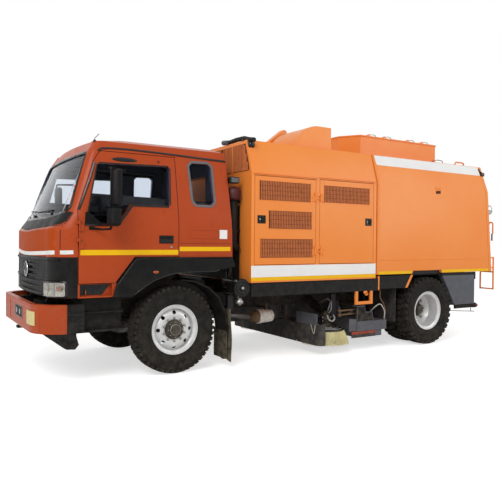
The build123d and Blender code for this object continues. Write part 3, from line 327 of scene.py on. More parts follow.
# ---------------------------------------------------------------- finishes
# Each finish: main colour, second colour it varies towards, grain of that variation in mm,
# share of the second colour, roughness, its spread, metallic, bump height in mm, bump grain in mm,
# share of road dust near the ground, mirror-like share of the surface.
FINISHES = {
    # Alkyd enamel sprayed on pressed steel: deep gloss, faintly wavy, sun-bleached in patches.
    "cab_enamel": ("#AC4218", "#B84C20", 420, 0.35, 0.32, 0.08, 0.0, 0.10, 160, 0.25, 0.18),
    # The same enamel on the hood, its gloss worn off by road grit.
    "hood_enamel": ("#A8430F", "#B44A18", 420, 0.35, 0.5, 0.08, 0.0, 0.10, 160, 0.25, 0.03),
    # Two-pack polyurethane on folded sheet: bright and even, with panel waves and slight chalking.
    "body_enamel": ("#F08A36", "#F59A4E", 700, 0.35, 0.34, 0.08, 0.0, 0.16, 240, 0.18, 0.3),
    # Shadowed joint between pressed panels, sealed in dark mastic.
    "cab_seam": ("#3A1A10", "#4A2416", 90, 0.4, 0.6, 0.08, 0.0, 0.0, 20, 0.1, 0.3),
    # White two-pack band: clean, faint grey film of dirt.
    "white_enamel": ("#F2F2F0", "#DEDEDC", 500, 0.4, 0.36, 0.08, 0.0, 0.05, 200, 0.2, 0.3),
    # Retro-reflective yellow tape: waxy, even.
    "yellow_tape": ("#F2BE08", "#E8AE04", 200, 0.4, 0.42, 0.05, 0.0, 0.03, 40, 0.15, 0.2),
    # White reflective tape.
    "white_tape": ("#E9E9E6", "#CFCFCB", 90, 0.4, 0.4, 0.06, 0.0, 0.03, 40, 0.2, 0.2),
    # Blue-grey enamel brushed on plate steel: satin, scuffed by grit.
    "grey_enamel": ("#4E515A", "#60636B", 130, 0.5, 0.5, 0.14, 0.0, 0.12, 60, 0.35, 0.25),
    # Polypropylene, moulded with a leather grain: dull black, bloomed grey by the sun.
    "moulded_black": ("#0B0C0D", "#191A1C", 260, 0.4, 0.48, 0.15, 0.0, 0.10, 9, 0.2, 0.14),
    # Black skirt panel in textured paint.
    "skirt_black": ("#121315", "#1E1F21", 300, 0.5, 0.55, 0.1, 0.0, 0.08, 14, 0.22, 0.14),
    # Chassis black over hot-rolled steel: satin, greasy, dusted.
    "chassis_black": ("#0F0F0F", "#211F1D", 180, 0.5, 0.55, 0.2, 0.0, 0.25, 35, 0.42, 0.15),
    # Vulcanised tyre rubber: matt, browned by road dirt on the walls.
    "tyre_rubber": ("#171716", "#2B2924", 55, 0.5, 0.8, 0.1, 0.0, 0.35, 12, 0.18, 0.12),
    # Tread rubber, scuffed pale and packed with road dirt.
    "tread_rubber": ("#1F1E1C", "#38352E", 35, 0.5, 0.85, 0.05, 0.0, 0.4, 10, 0.22, 0.12),
    # Conveyor rubber sheet: matt dark grey, chalky, scuffed.
    "rubber_sheet": ("#2A2B2D", "#454545", 150, 0.5, 0.7, 0.12, 0.0, 0.2, 22, 0.5, 0.2),
    # Mudflap rubber caked in dried mud.
    "muddy_rubber": ("#3B372F", "#6A6252", 45, 0.65, 0.9, 0.06, 0.0, 1.2, 18, 0.8, 0.15),
    # Hydraulic hose cover.
    "hose_rubber": ("#141414", "#2B2A28", 60, 0.4, 0.6, 0.1, 0.0, 0.15, 10, 0.4, 0.2),
    # Wheel silver baked on pressed steel: fine flake, brake dust in the hollows.
    "wheel_silver": ("#E2E3E3", "#C2C2BF", 70, 0.4, 0.38, 0.12, 0.3, 0.08, 30, 0.35, 0.3),
    # Cast iron hub, oily.
    "cast_iron": ("#2C2927", "#544C42", 45, 0.55, 0.55, 0.15, 0.5, 0.5, 9, 0.5, 0.3),
    # Zinc-plated bolts and clips.
    "zinc_plate": ("#A9A9A5", "#7D7A72", 30, 0.5, 0.4, 0.12, 0.9, 0.05, 8, 0.3, 0.3),
    # Chrome-plated ram rod and reflectors.
    "chrome_plate": ("#C9CBCD", "#B5B7B9", 200, 0.3, 0.1, 0.03, 1.0, 0.0, 20, 0.0, 0.3),
    # Aluminium tank, rolled sheet.
    "rolled_aluminium": ("#9C9D9E", "#7E7F80", 120, 0.5, 0.42, 0.12, 0.9, 0.1, 30, 0.45, 0.3),
    # Exhaust lagging: pale heat tape, greyed and stained.
    "heat_tape": ("#F4F1EA", "#BDB6AB", 40, 0.5, 0.8, 0.1, 0.1, 0.8, 14, 0.35, 0.3),
    # Nylon bristle, cream, grey with use.
    "nylon_bristle": ("#F7EFBC", "#DCD3A0", 28, 0.55, 0.55, 0.1, 0.0, 0.0, 8, 0.4, 0.3),
    # Roots of the bristles, in shade and packed with dust.
    "bristle_shade": ("#7C7452", "#5A543C", 20, 0.5, 0.8, 0.05, 0.0, 0.0, 8, 0.4, 0.2),
    # Seat cloth, woven dark grey.
    "seat_cloth": ("#1B1D23", "#262930", 14, 0.5, 0.85, 0.05, 0.0, 0.4, 4, 0.0, 0.15),
    # Cab trim, vacuum-formed ABS.
    "trim_grey": ("#1E2128", "#282B33", 160, 0.4, 0.6, 0.08, 0.0, 0.1, 8, 0.0, 0.2),
    # Navy headlining and walls inside the cab; on the reveals of the door and window openings the same navy
    # is painted shade in the gaps.
    "navy_trim_and_gap_shade": ("#3A4254", "#464E60", 160, 0.4, 0.7, 0.08, 0.0, 0.1, 8, 0.0, 0.2),
    # Perforated grille sheet, orange paint worn to brown by exhaust soot.
    "grille_brown": ("#CC7440", "#A35A32", 60, 0.55, 0.6, 0.1, 0.0, 0.1, 12, 0.1, 0.3),
    # Painted shade: the dark of the shadowed space behind a grille or louvre, and under a ledge.
    "painted_shade": ("#55291A", "#6A3622", 90, 0.5, 0.85, 0.05, 0.0, 0.0, 20, 0.0, 0.3),
    # Glazing rubber, smooth grey.
    "glazing_rubber": ("#5E6366", "#787C7E", 60, 0.4, 0.55, 0.1, 0.0, 0.05, 12, 0.1, 0.3),
    # Sealing strip and lamp housings, gloss black ABS.
    "gloss_black": ("#0E0F11", "#1A1B1D", 200, 0.3, 0.22, 0.08, 0.0, 0.03, 30, 0.15, 0.35),
    # Resin-bonded fan duct, its dull maroon painted shadow: the orange canopy front in the shadow of the
    # lamp above.
    "duct_painted_shadow": ("#4A1E20", "#5A2A28", 120, 0.4, 0.5, 0.1, 0.0, 0.05, 30, 0.2, 0.3),
    # Bare pipe, dull grey with heat.
    "grey_steel": ("#6E6F70", "#54524E", 60, 0.5, 0.5, 0.12, 0.6, 0.1, 12, 0.4, 0.3),
    # Mild steel rusted by road water: orange-brown bloom over dark scale.
    "rusty_steel": ("#7A6045", "#5A4634", 30, 0.6, 0.75, 0.12, 0.2, 0.4, 9, 0.3, 0.2),
    # Off-white PVC hose cover, grimy.
    "pale_hose": ("#C9C8C0", "#9E9A8E", 30, 0.5, 0.5, 0.1, 0.0, 0.05, 12, 0.3, 0.3),
    # Red painted edge strip.
    "red_strip": ("#A83A22", "#8A3222", 60, 0.5, 0.5, 0.1, 0.0, 0.05, 20, 0.3, 0.25),
    # Blank number plate.
    "plate_cream": ("#D9C98A", "#CDBD7E", 60, 0.4, 0.45, 0.05, 0.0, 0.0, 20, 0.15, 0.3),
}
# Clear parts: colour, roughness, index of refraction, share of light let through.
CLEAR = {
    # Toughened glass with a grey-blue tint.
    "window_glass": ("#E6EBF2", 0.02, 1.1, 1.0),
    # Polycarbonate headlamp lens, faintly hazed.
    "lamp_lens": ("#F3F0E6", 0.06, 1.58, 0.9),
    # Amber acrylic lens, moulded.
    "amber_lens": ("#C85A08", 0.15, 1.49, 0.35),
    # Red acrylic lens, moulded.
    "red_lens": ("#8E1410", 0.15, 1.49, 0.35),
}
# Road dust: its colour, the height in metres where it thins out, and the share of it that stays above.
DUST = "#857B6A"
DUST_TOP = 1.3
DUST_LEFT = 0.12
SURFACES = {}


def surface(name):
    """The material of a finish, made once: two shades in broad patches, road dust, worn gloss and a bump."""
    if name in SURFACES:
        return SURFACES[name]
    made = bpy.data.materials.new(name + "_finish")
    SURFACES[name] = made
    made.use_nodes = True
    tree = made.node_tree
    shader = tree.nodes["Principled BSDF"]
    if name in CLEAR:
        colour, rough, ior, share = CLEAR[name]
        for key, value in (("Base Color", linear(colour)), ("Roughness", rough), ("IOR", ior),
                           ("Transmission Weight", share)):
            shader.inputs[key].default_value = value
        return made
    main, second, grain, share, rough, spread, metallic, height, fine, dust, mirror = FINISHES[name]
    shader.inputs["Metallic"].default_value = metallic
    shader.inputs["Specular IOR Level"].default_value = mirror
    place = add(tree, "ShaderNodeTexCoord").outputs["Object"]
    broad = add(tree, "ShaderNodeTexNoise", {"Vector": place},
                values={"Scale": 1 / (grain * MM), "Detail": 4.0})
    cover = add(tree, "ShaderNodeMapRange", {0: broad.outputs[0]},
                values={1: 0.35, 2: 0.7, 3: 0.0, 4: share})
    colour = add(tree, "ShaderNodeMix", {"Factor": cover.outputs[0]}, data_type="RGBA",
                 values={6: linear(main), 7: linear(second)})
    height_up = add(tree, "ShaderNodeSeparateXYZ", {0: place}).outputs[2]
    low = add(tree, "ShaderNodeMapRange", {0: height_up},
              values={1: 0.0, 2: DUST_TOP, 3: dust, 4: dust * DUST_LEFT})
    blotch = add(tree, "ShaderNodeTexNoise", {"Vector": place},
                 values={"Scale": 11.0, "Detail": 6.0, "Roughness": 0.7})
    spots = add(tree, "ShaderNodeMapRange", {0: blotch.outputs[0]}, values={1: 0.38, 2: 0.68})
    dusty = add(tree, "ShaderNodeMath", {0: low.outputs[0], 1: spots.outputs[0]}, operation="MULTIPLY")
    final = add(tree, "ShaderNodeMix", {"Factor": dusty.outputs[0], 6: colour.outputs[2]}, data_type="RGBA",
                values={7: linear(DUST)})
    tree.links.new(final.outputs[2], shader.inputs["Base Color"])
    gloss = add(tree, "ShaderNodeMapRange", {0: blotch.outputs[0]},
                values={1: 0.3, 2: 0.7, 3: max(0.02, rough - spread), 4: min(1.0, rough + spread)})
    dull = add(tree, "ShaderNodeMath", {0: gloss.outputs[0], 1: dusty.outputs[0]}, operation="MAXIMUM")
    tree.links.new(dull.outputs[0], shader.inputs["Roughness"])
    if height:
        grainy = add(tree, "ShaderNodeTexNoise", {"Vector": place},
                     values={"Scale": 1 / (fine * MM), "Detail": 3.0})
        bump = add(tree, "ShaderNodeBump", {"Height": grainy.outputs[0]},
                   values={"Strength": 0.6, "Distance": height * MM})
        tree.links.new(bump.outputs[0], shader.inputs["Normal"])
    return made


# ---------------------------------------------------------------- strips laid on the model's own surfaces
# Directions to look in, from each side of the truck.
LEFT, RIGHT, FRONT, BACK = (0, -1, 0), (0, 1, 0), (-1, 0, 0), (1, 0, 0)
# Distances in metres to look from: left or right of the middle, and the stations ahead and behind.
BESIDE = 1.6
AHEAD = 4.2
BEHIND = AXLE_X - 6.4
SKINS = {}


def skin(*nodes):
    """Surface of some frame nodes, ready to be met by rays."""
    if nodes not in SKINS:
        points, faces = [], []
        for node in nodes:
            mesh = frame["nodes"][node].data
            start = len(points)
            points += [v.co.copy() for v in mesh.vertices]
            faces += [[start + i for i in face.vertices] for face in mesh.polygons]
        SKINS[nodes] = BVHTree.FromPolygons(points, faces)
    return SKINS[nodes]


def landed(tree, spot, aim, reach=4.0):
    """Point and outward normal where a ray meets a surface, or nothing."""
    aim = Vector(aim)
    hit, normal, _, _ = tree.ray_cast(Vector(spot), aim, reach)
    if hit is None:
        return None
    return hit, (normal if normal.dot(aim) < 0 else -normal)


def outside(points, aim):
    """Places outside the truck to look along a direction from: (ahead or left, up) in millimetres."""
    if aim[1]:
        return [Vector((AXLE_X + x * MM, -aim[1] * BESIDE, z * MM)) for x, z in points]
    x = AHEAD if aim[0] < 0 else BEHIND
    return [Vector((x, y * MM, z * MM)) for y, z in points]


def resampled(points, step, closed=False):
    """Points at most a step apart along a path."""
    loop = list(points) + ([points[0]] if closed else [])
    result = []
    for a, b in zip(loop, loop[1:]):
        count = max(1, math.ceil((b - a).length / step))
        result += [a.lerp(b, i / count) for i in range(count)]
    return result if closed else result + [loop[-1]]


def grown(outline, amount):
    """Closed outline moved outwards by an amount."""
    points = [Vector(p) for p in outline]
    count = len(points)
    turned_left = sum(points[i - 1].cross(points[i]) for i in range(count)) > 0
    sign = 1 if turned_left else -1
    result = []
    for i in range(count):
        one = (points[i] - points[i - 1]).normalized()
        two = (points[(i + 1) % count] - points[i]).normalized()
        across = Vector((one.y, -one.x)) + Vector((two.y, -two.x))
        across.normalize()
        reach = amount / max(0.35, across.dot(Vector((one.y, -one.x))))
        result.append(points[i] + across * reach * sign)
    return result


def softened(outline, radius, steps=5):
    """Closed outline with its corners turned on arcs."""
    points = [Vector(p) for p in outline]
    count = len(points)
    result = []
    for i in range(count):
        before, corner, after = points[i - 1], points[i], points[(i + 1) % count]
        result += bent([before, corner, after], radius, steps)[1:-1]
    return result


def strip(name, tree, path, width, rise, aim, closed=False, step=0.03, sink=0.004, columns=1, taper=0.0):
    """Band laid on a surface along a path, seen along a direction. All in metres."""
    aim = Vector(aim)
    spots = resampled([Vector(p) for p in path], step, closed)
    count = len(spots)
    points, faces, rows = [], [], []
    for i, spot in enumerate(spots):
        ahead = spots[(i + 1) % count] if closed or i < count - 1 else spot
        behind = spots[i - 1] if closed or i > 0 else spot
        along = (ahead - behind).normalized()
        across = along.cross(aim).normalized()
        tops, lows = [], []
        for k in range(columns + 1):
            place = spot + across * width * (k / columns - 0.5)
            found = landed(tree, place, aim)
            if found is None:
                tops = None
                break
            hit, normal = found
            edge = taper if k in (0, columns) else 0.0
            tops.append(hit + normal * (rise - edge))
            lows.append(hit - normal * sink)
        rows.append(None if tops is None else len(points))
        if tops is not None:
            points += tops + lows[::-1]
    size = 2 * (columns + 1)
    pairs = list(zip(range(count), range(1, count))) + ([(count - 1, 0)] if closed else [])
    for i, j in pairs:
        a, b = rows[i], rows[j]
        if a is None or b is None or (points[a] - points[b]).length > 4 * step + width:
            continue
        faces += [(a + k, a + (k + 1) % size, b + (k + 1) % size, b + k) for k in range(size)]
    return capped(mesh_piece(name, points, faces))


def capped(obj):
    """Open ends closed, loose points dropped and faces turned outwards."""
    build = bmesh.new()
    build.from_mesh(obj.data)
    bmesh.ops.delete(build, geom=[v for v in build.verts if not v.link_faces], context="VERTS")
    edges = [e for e in build.edges if e.is_boundary]
    if edges:
        bmesh.ops.holes_fill(build, edges=edges, sides=0)
    bmesh.ops.recalc_face_normals(build, faces=build.faces)
    build.to_mesh(obj.data)
    build.free()
    return obj


def along(points, share):
    """Place at a share of the way along a path."""
    lengths = [(b - a).length for a, b in zip(points, points[1:])]
    rest = share * sum(lengths)
    for a, b, length in zip(points, points[1:], lengths):
        if rest <= length + 1e-9:
            return a.lerp(b, rest / length if length else 0)
        rest -= length
    return points[-1].copy()


def sheet_faces(count, rows):
    """Faces of a closed sheet: a grid of count by rows cells, the same again behind it, and the rim."""
    wide = rows + 1
    total = wide * (count + 1)
    faces = []
    for a in (i * wide + k for i in range(count) for k in range(rows)):
        faces.append((a, a + 1, a + wide + 1, a + wide))
        faces.append((total + a, total + a + wide, total + a + wide + 1, total + a + 1))
    rim = list(range(wide)) + [i * wide + rows for i in range(1, count + 1)]
    rim += [count * wide + k for k in range(rows - 1, -1, -1)] + [i * wide for i in range(count - 1, 0, -1)]
    return faces + [(a, b, total + b, total + a) for a, b in zip(rim, rim[1:] + rim[:1])]


def patch(name, tree, low, high, aim, rise, rows=6, step=0.04, sink=0.003):
    """Panel laid on a surface between two edges, seen along a direction.

    The rise is a distance off the surface, or a function of the shares along and up that gives it.
    """
    length = sum((b - a).length for a, b in zip(low, low[1:]))
    count = max(2, math.ceil(length / step))
    outer, inner = [], []
    for i in range(count + 1):
        start, end = along(low, i / count), along(high, i / count)
        for k in range(rows + 1):
            hit, normal = landed(tree, start.lerp(end, k / rows), aim)
            outer.append(hit + normal * (rise(i / count, k / rows) if callable(rise) else rise))
            inner.append(hit - normal * sink)
    obj = capped(mesh_piece(name, outer + inner, sheet_faces(count, rows)))
    obj.data.shade_smooth()
    return sharpened(obj)


# ---------------------------------------------------------------- painted parts
# Places and outlines are in millimetres from the front axle. Radii, widths and rises are in metres.
def block(finish, low, high, radius=None, segments=3):
    """Block between two corners, its edges rounded if a radius is given."""
    obj = brick("block", low, high)
    return painted(rounded(obj, radius, segments) if radius else obj, finish)


def sheet(finish, outline, y0, y1, radius=None, segments=2):
    """Plate with an outline (ahead, up), drawn out across the truck."""
    obj = side_slab("sheet", outline, y0, y1)
    return painted(rounded(obj, radius, segments) if radius else obj, finish)


def pipe(finish, points, radius, sides=12, bend=None, closed=False):
    """Bar or pipe along points, its corners turned on arcs if a bend is given."""
    path = [at(*p) for p in points]
    return painted(tube("pipe", bent(path, bend) if bend else path, radius, sides, closed), finish)


def lathe(profile, centre, axis="y", segments=64, ring=False, side=1):
    """Bare turned part from (radius, reach) pairs in mm, closed at its axis unless it is a ring."""
    profile = list(profile)
    if not ring:
        start = [(AXIS, profile[0][1])] if profile[0][0] > AXIS else []
        end = [(AXIS, profile[-1][1])] if profile[-1][0] > AXIS else []
        profile = start + profile + end
    metres = [(radius * MM, side * reach * MM) for radius, reach in profile]
    return turned("turned", metres, centre, axis, segments, closed=ring)


def spun(finish, centre, profile, *shape, sharp=False, **more):
    """Painted turned part, with its edges kept if it is to look sharp."""
    obj = lathe(profile, centre, *shape, **more)
    return painted(sharpened(obj) if sharp else obj, finish)


def dome(finish, centre, radii, rings=10, segments=20):
    """Ellipsoid about a centre in metres."""
    turns = [math.pi * i / rings for i in range(rings + 1)]
    profile = [(max(1e-4, math.sin(turn)), -math.cos(turn)) for turn in turns]
    obj = turned("dome", profile, (0, 0, 0), "z", segments, closed=False)
    obj.data.transform(Matrix.Translation(centre) @ Matrix.Diagonal((*radii, 1)))
    obj.data.update()
    return painted(outward(obj), finish)


def circle(radius, count):
    """Places round a circle, as pairs."""
    turns = [2 * math.pi * i / count for i in range(count)]
    return [(radius * math.cos(turn), radius * math.sin(turn)) for turn in turns]


def laid(finish, tree, line, width, rise, aim=LEFT, **how):
    """Strip laid on a surface along a line, seen along a direction."""
    return painted(strip("strip", tree, outside(line, aim), width, rise, aim, **how), finish)


def panel(finish, tree, low, high, rise, aim=LEFT, **how):
    """Panel laid on a surface between two lines, seen along a direction."""
    return painted(patch("panel", tree, outside(low, aim), outside(high, aim), aim, rise, **how), finish)


def whole(half):
    """Line across the truck, from its left half that starts at the middle."""
    return [(-y, z) for y, z in half[:0:-1]] + half


def piece(name, parts, body, slot, *replaces):
    """Finished piece joined from its parts and set on its body."""
    return fitted(join(name, parts), body, replaces)


def both_sides(name, parts, bodies, replaces=None):
    """The left piece and its mirrored right one. A {} in the names stands for the side."""
    left = join(name.format("left"), parts)
    right = flipped(left, name.format("right"))
    for obj, label, body in zip((left, right), ("left", "right"), bodies):
        fitted(obj, body, [replaces.format(label)] if replaces else ())


# ---------------------------------------------------------------- wheels
TYRE_RADIUS = AXLE_Z
FRONT_LUG = 0.020
REAR_LUG = 0.024
# Distances of the wheels' middle planes from the truck's middle: front, and each twin at the rear.
FRONT_TRACK = 0.938
REAR_TRACK = 0.932
TWIN_OFFSET = 0.159
# The tread falls away at its shoulders: from mm across the tyre, by metres.
SHOULDER = 105
SHOULDER_DROP = 0.010
CROWN = 70
CROWN_DROP = 0.002
# Tyre wall: radius and distance from the middle plane, in mm, from the bead outwards.
TYRE_WALL = ((258, 80), (280, 84), (298, 92), (304, 102), (312, 113), (318, 113), (335, 126), (372, 136),
             (376, 138), (384, 138), (388, 137), (415, 139), (450, 136), (455, 138), (462, 137), (466, 133),
             (490, 124), (506, 110), (511, 96))
# Rows of tread blocks: low and high across, start and length round the tyre, slant, in mm.
FRONT_ROWS = ((82, 128, 0, 46, 8), (-128, -82, 30, 46, -8), (28, 74, 10, 64, 6), (-74, -28, 40, 64, -6),
              (-20, 20, 22, 66, 4))
REAR_ROWS = ((80, 130, 0, 58, 14), (-130, -80, 44, 58, -14), (30, 72, 14, 64, 16), (-72, -30, 56, 64, -16),
             (-22, 22, 34, 62, 20))
# Rims and hubs: radius and distance outwards from the wheel's middle plane, in mm.
BARREL = ((300, 103), (296, 107), (288, 105), (284, 96), (272, 93), (262, 91), (250, 80), (248, 30),
          (240, -30), (244, -80), (262, -92), (284, -96), (296, -107), (300, -103), (294, -92),
          (268, -88), (256, -78), (252, -30), (256, 30), (257, 78), (268, 88), (294, 92))
FRONT_DISC = ((250, 20), (250, 30), (232, 52), (214, 68), (198, 76), (176, 78), (150, 74), (120, 66),
              (98, 64), (98, 54), (120, 56), (150, 64), (176, 68), (196, 66), (210, 58), (226, 44),
              (242, 20))
FRONT_HUB = ((34, 122), (60, 118), (70, 110), (74, 100), (98, 98), (112, 92), (118, 80), (120, 64), (98, 62),
             (98, 40), (90, 20), (90, -60))
REAR_DISC = ((250, 78), (250, 68), (226, 40), (206, 14), (196, 4), (176, 0), (120, 0), (100, 0), (100, 11),
             (120, 12), (176, 12), (192, 14), (200, 22), (220, 48), (242, 78))
REAR_HUB = ((46, 120), (62, 116), (70, 106), (74, 60), (86, 56), (104, 52), (110, 40), (112, 14),
            (112, -190))


def tyre_body(x, y, worn):
    """Tyre without its blocks, its outer face lowered by some mm."""
    half = [(r - worn if r > 495 else r, d) for r, d in TYRE_WALL]
    ring = half + [(r, -d) for r, d in half[::-1]]
    return painted(sharpened(lathe(ring, (x, y, AXLE_Z), segments=96, ring=True), 40), "tyre_rubber")


def lug(x, y, height, low, high, start, length, slant):
    """One tread block: its span across the tyre, its angle and length round the tyre, in mm."""
    corners = ((low, start), (high, start + slant), (high, start + length + slant), (low, start + length))
    points = []
    for radius, taper in ((TYRE_RADIUS - height - 0.010, 0.0), (TYRE_RADIUS, 0.002)):
        for across, reach in corners:
            turn = (reach * MM) / TYRE_RADIUS
            drop = 0.0
            if abs(across) > CROWN:
                drop = SHOULDER_DROP if abs(across) > SHOULDER else CROWN_DROP
            spot = (radius - drop) * Vector((math.sin(turn), 0, math.cos(turn)))
            points.append(spot + Vector((x, y + across * MM + (taper if across == low else -taper), AXLE_Z)))
    faces = [(3, 2, 1, 0), (4, 5, 6, 7), (0, 1, 5, 4), (1, 2, 6, 5), (2, 3, 7, 6), (3, 0, 4, 7)]
    return outward(mesh_piece("lug", points, faces))


def ring_copies(obj, count, finish, centre):
    """Copies of a part round a wheel."""
    return copies(obj, count, finish, turn=(0, 2 * math.pi / count, 0), centre=centre)


def tread(x, y, rows, count, height):
    """Rings of tread blocks."""
    centre = (x, y, AXLE_Z)
    rings = [ring_copies(lug(x, y, height, *row), count, "tread_rubber", centre) for row in rows]
    return join("tread", rings)


def wheel_nuts(x, face, side, ring, count, size):
    """Ring of studs with hexagon nuts on the outer face of a wheel disc. The size is in mm."""
    spot = (x, face + side * 0.010, AXLE_Z + ring)
    nut = lathe([(size, -10), (size, 6), (size * 0.8, 11)], spot, segments=6)
    stud = lathe([(size * 0.48, -5), (size * 0.48, 26 * side)], spot, segments=10)
    both = join("nuts", [nut, stud])
    bpy.context.view_layer.update()
    return ring_copies(both, count, "zinc_plate", (x, face, AXLE_Z))


def make_tyres(sizes):
    """Tyres with their blocks: single in front, twin at the rear."""
    for side, label in SIDES.items():
        y = side * FRONT_TRACK
        parts = [tyre_body(AXLE_X, y, 5), tread(AXLE_X, y, FRONT_ROWS, sizes.front_blocks, FRONT_LUG)]
        piece(f"front_tyre_{label}_ribbed", parts, f"front_wheel_{label}", "tyre_rubber",
              f"front_tyre_{label}")
        parts = []
        for offset in (TWIN_OFFSET, -TWIN_OFFSET):
            y = side * (REAR_TRACK + offset)
            parts.append(tyre_body(REAR_X, y, 9))
            parts.append(tread(REAR_X, y, REAR_ROWS, sizes.rear_blocks, REAR_LUG))
        piece(f"rear_tyres_{label}_blocked", parts, f"rear_wheels_{label}", "tyre_rubber",
              f"rear_tyres_{label}")


def wheel_disc(x, y, profile, side, hole_size, ring, holes=8):
    """Turned disc pierced by a ring of round hand holes, cut by a Boolean. The hole size is in mm."""
    centre = (x, y, AXLE_Z)
    disc = lathe(profile, centre, segments=96, ring=True, side=side)
    cutter = lathe([(hole_size, -90), (hole_size, 90)], (x, y, AXLE_Z + ring), segments=20)
    drills = ring_copies(cutter, holes, "wheel_silver", centre)
    cut = disc.modifiers.new("holes", "BOOLEAN")
    cut.object = drills
    cut.operation = "DIFFERENCE"
    cut.solver = "EXACT"
    disc = settled(disc)
    bpy.data.objects.remove(drills)
    return painted(sharpened(disc), "wheel_silver")


def barrel(centre, side):
    """Rim without its disc."""
    return spun("wheel_silver", centre, BARREL, segments=96, ring=True, side=side, sharp=True)


def make_rims():
    """Rims with their discs, hubs, nuts and cap bolts: single in front, twin at the rear."""
    for side, label in SIDES.items():
        y = side * FRONT_TRACK
        spot = Vector((AXLE_X, y, AXLE_Z))
        parts = [
            barrel(spot, side),
            wheel_disc(AXLE_X, y, FRONT_DISC, side, 24, 0.205),
            spun("cast_iron", spot, FRONT_HUB, side=side, sharp=True),
            wheel_nuts(AXLE_X, y + side * 0.066, side, 0.140, 10, 16),
            spun("zinc_plate", spot, [(62, 119), (68, 114), (68, 108), (62, 106)], ring=True, side=side),
            wheel_nuts(AXLE_X, y + side * 0.092, side, 0.090, 8, 7),
        ]
        piece(f"front_rim_{label}_pressed", parts, f"front_wheel_{label}", "wheel_silver",
              f"front_rim_{label}")
        parts = []
        spot = Vector((REAR_X, side * REAR_TRACK, AXLE_Z))
        for turn in (1, -1):
            parts.append(barrel(spot + Vector((0, side * turn * TWIN_OFFSET, 0)), side))
            parts.append(wheel_disc(REAR_X, side * REAR_TRACK, REAR_DISC, side * turn, 26, 0.172))
        parts.append(spun("cast_iron", spot, REAR_HUB, side=side, sharp=True))
        parts.append(wheel_nuts(REAR_X, side * (REAR_TRACK + 0.014), side, 0.140, 10, 18))
        piece(f"rear_rims_{label}_pressed", parts, f"rear_wheels_{label}", "wheel_silver",
              f"rear_rims_{label}")


# ---------------------------------------------------------------- cab
DOORS = ("left_cab_door", "right_cab_door")
DOOR_WINDOW = ((1082, 1764), (920, 2440), (62, 2461), (88, 1996), (560, 1993), (736, 1763))
QUARTER_WINDOW = ((-244, 2533), (-458, 2537), (-499, 2498), (-505, 2068), (-466, 2028),
                  (-268, 2028), (-229, 2068), (-206, 2494))
SCREEN = ((-985, 1905), (-500, 1850), (500, 1850), (985, 1905), (850, 2560), (-850, 2560))
# How far reflective tape and paint bands stand off the metal.
TAPE_RISE = 0.0012


def door_trim():
    """Stripe, window seal, handle and lock of the left door."""
    tree = skin("cab_door_left")
    y = 1090
    vent, _ = landed(tree, at(608, y + 500, 2505), LEFT)
    seal = softened(grown(DOOR_WINDOW, 9), 30)
    belt = [(1092, 1752), (728, 1751), (548, 1981), (100, 1983)]
    mirror_corner = [(1098, 1745), (1086, 1890), (1050, 1890), (902, 1765), (902, 1745)]
    return [
        laid("yellow_tape", tree, [(1142, 1450), (-11, 1450)], 0.058, TAPE_RISE, step=0.1),
        laid("gloss_black", tree, seal, 0.014, 0.004, closed=True, step=0.04),
        laid("gloss_black", tree, belt, 0.020, 0.007, step=0.05),
        sheet("moulded_black", mirror_corner, 1066, 1094, 0.004),
        block("moulded_black", (50, y - 8, 1551), (232, y + 3, 1647), 0.004),
        block("gloss_black", (62, y + 2, 1562), (220, y + 4, 1636)),
        block("moulded_black", (74, y + 2, 1606), (208, y + 13, 1632), 0.005),
        spun("zinc_plate", at(78, y, 1510), [(13, -4), (13, 3), (11, 5)], segments=20),
        dome("gloss_black", vent - Vector((0, 0.004, 0)), (0.158, 0.020, 0.027)),
        block("gloss_black", (190, 965, 2508), (204, 986, 2524), 0.003),
    ]


def cab_trim():
    """Gutter, window seals, stripes, seams and painted shade in the step well on the left of the cab."""
    tree = skin("cab_shell", "cab_door_left", "cab_door_right")
    gutter = [(1172, 1850), (1150, 1914), (1100, 2043), (1008, 2287), (938, 2520), (912, 2585), (868, 2615),
              (760, 2626), (533, 2631), (200, 2624), (-300, 2606), (-716, 2592)]
    pressing = softened([(-170, 1616), (-540, 1616), (-540, 1717), (-170, 1717)], 18)
    quarter_seal = softened(grown(QUARTER_WINDOW, 17), 30)
    bead = {"taper": 0.003, "columns": 2}
    return [
        laid("gloss_black", tree, gutter, 0.020, 0.011, step=0.04, **bead),
        laid("glazing_rubber", tree, quarter_seal, 0.028, 0.007, closed=True, **bead),
        laid("yellow_tape", tree, [(-30, 1489), (-722, 1489)], 0.052, TAPE_RISE, step=0.1),
        laid("white_tape", tree, [(1338, 1450), (1214, 1454)], 0.042, 0.0015, step=0.02),
        laid("cab_enamel", tree, pressing, 0.010, 0.004, closed=True, **bead),
        block("white_enamel", (-676, 1086, 1613), (-569, 1093, 1724), 0.002),
        laid("cab_seam", tree, [(-725, 1555), (-35, 1555)], 0.004, 0.0006, step=0.1),
        laid("gloss_black", tree, [(1170, 1900), (1168, 1485)], 0.014, 0.001, step=0.05),
        # Painted shade: a dark panel in the step recess under the door.
        panel("gloss_black", tree, [(1144, 983), (890, 983)], [(1144, 1097), (800, 1097)], 0.003, rows=3),
        laid("cab_enamel", tree, [(1150, 964), (800, 964)], 0.014, 0.010, step=0.1),
        pipe("cab_enamel", [(1080, 1076, 978), (1080, 1076, 1036)], 0.006, 8),
    ]


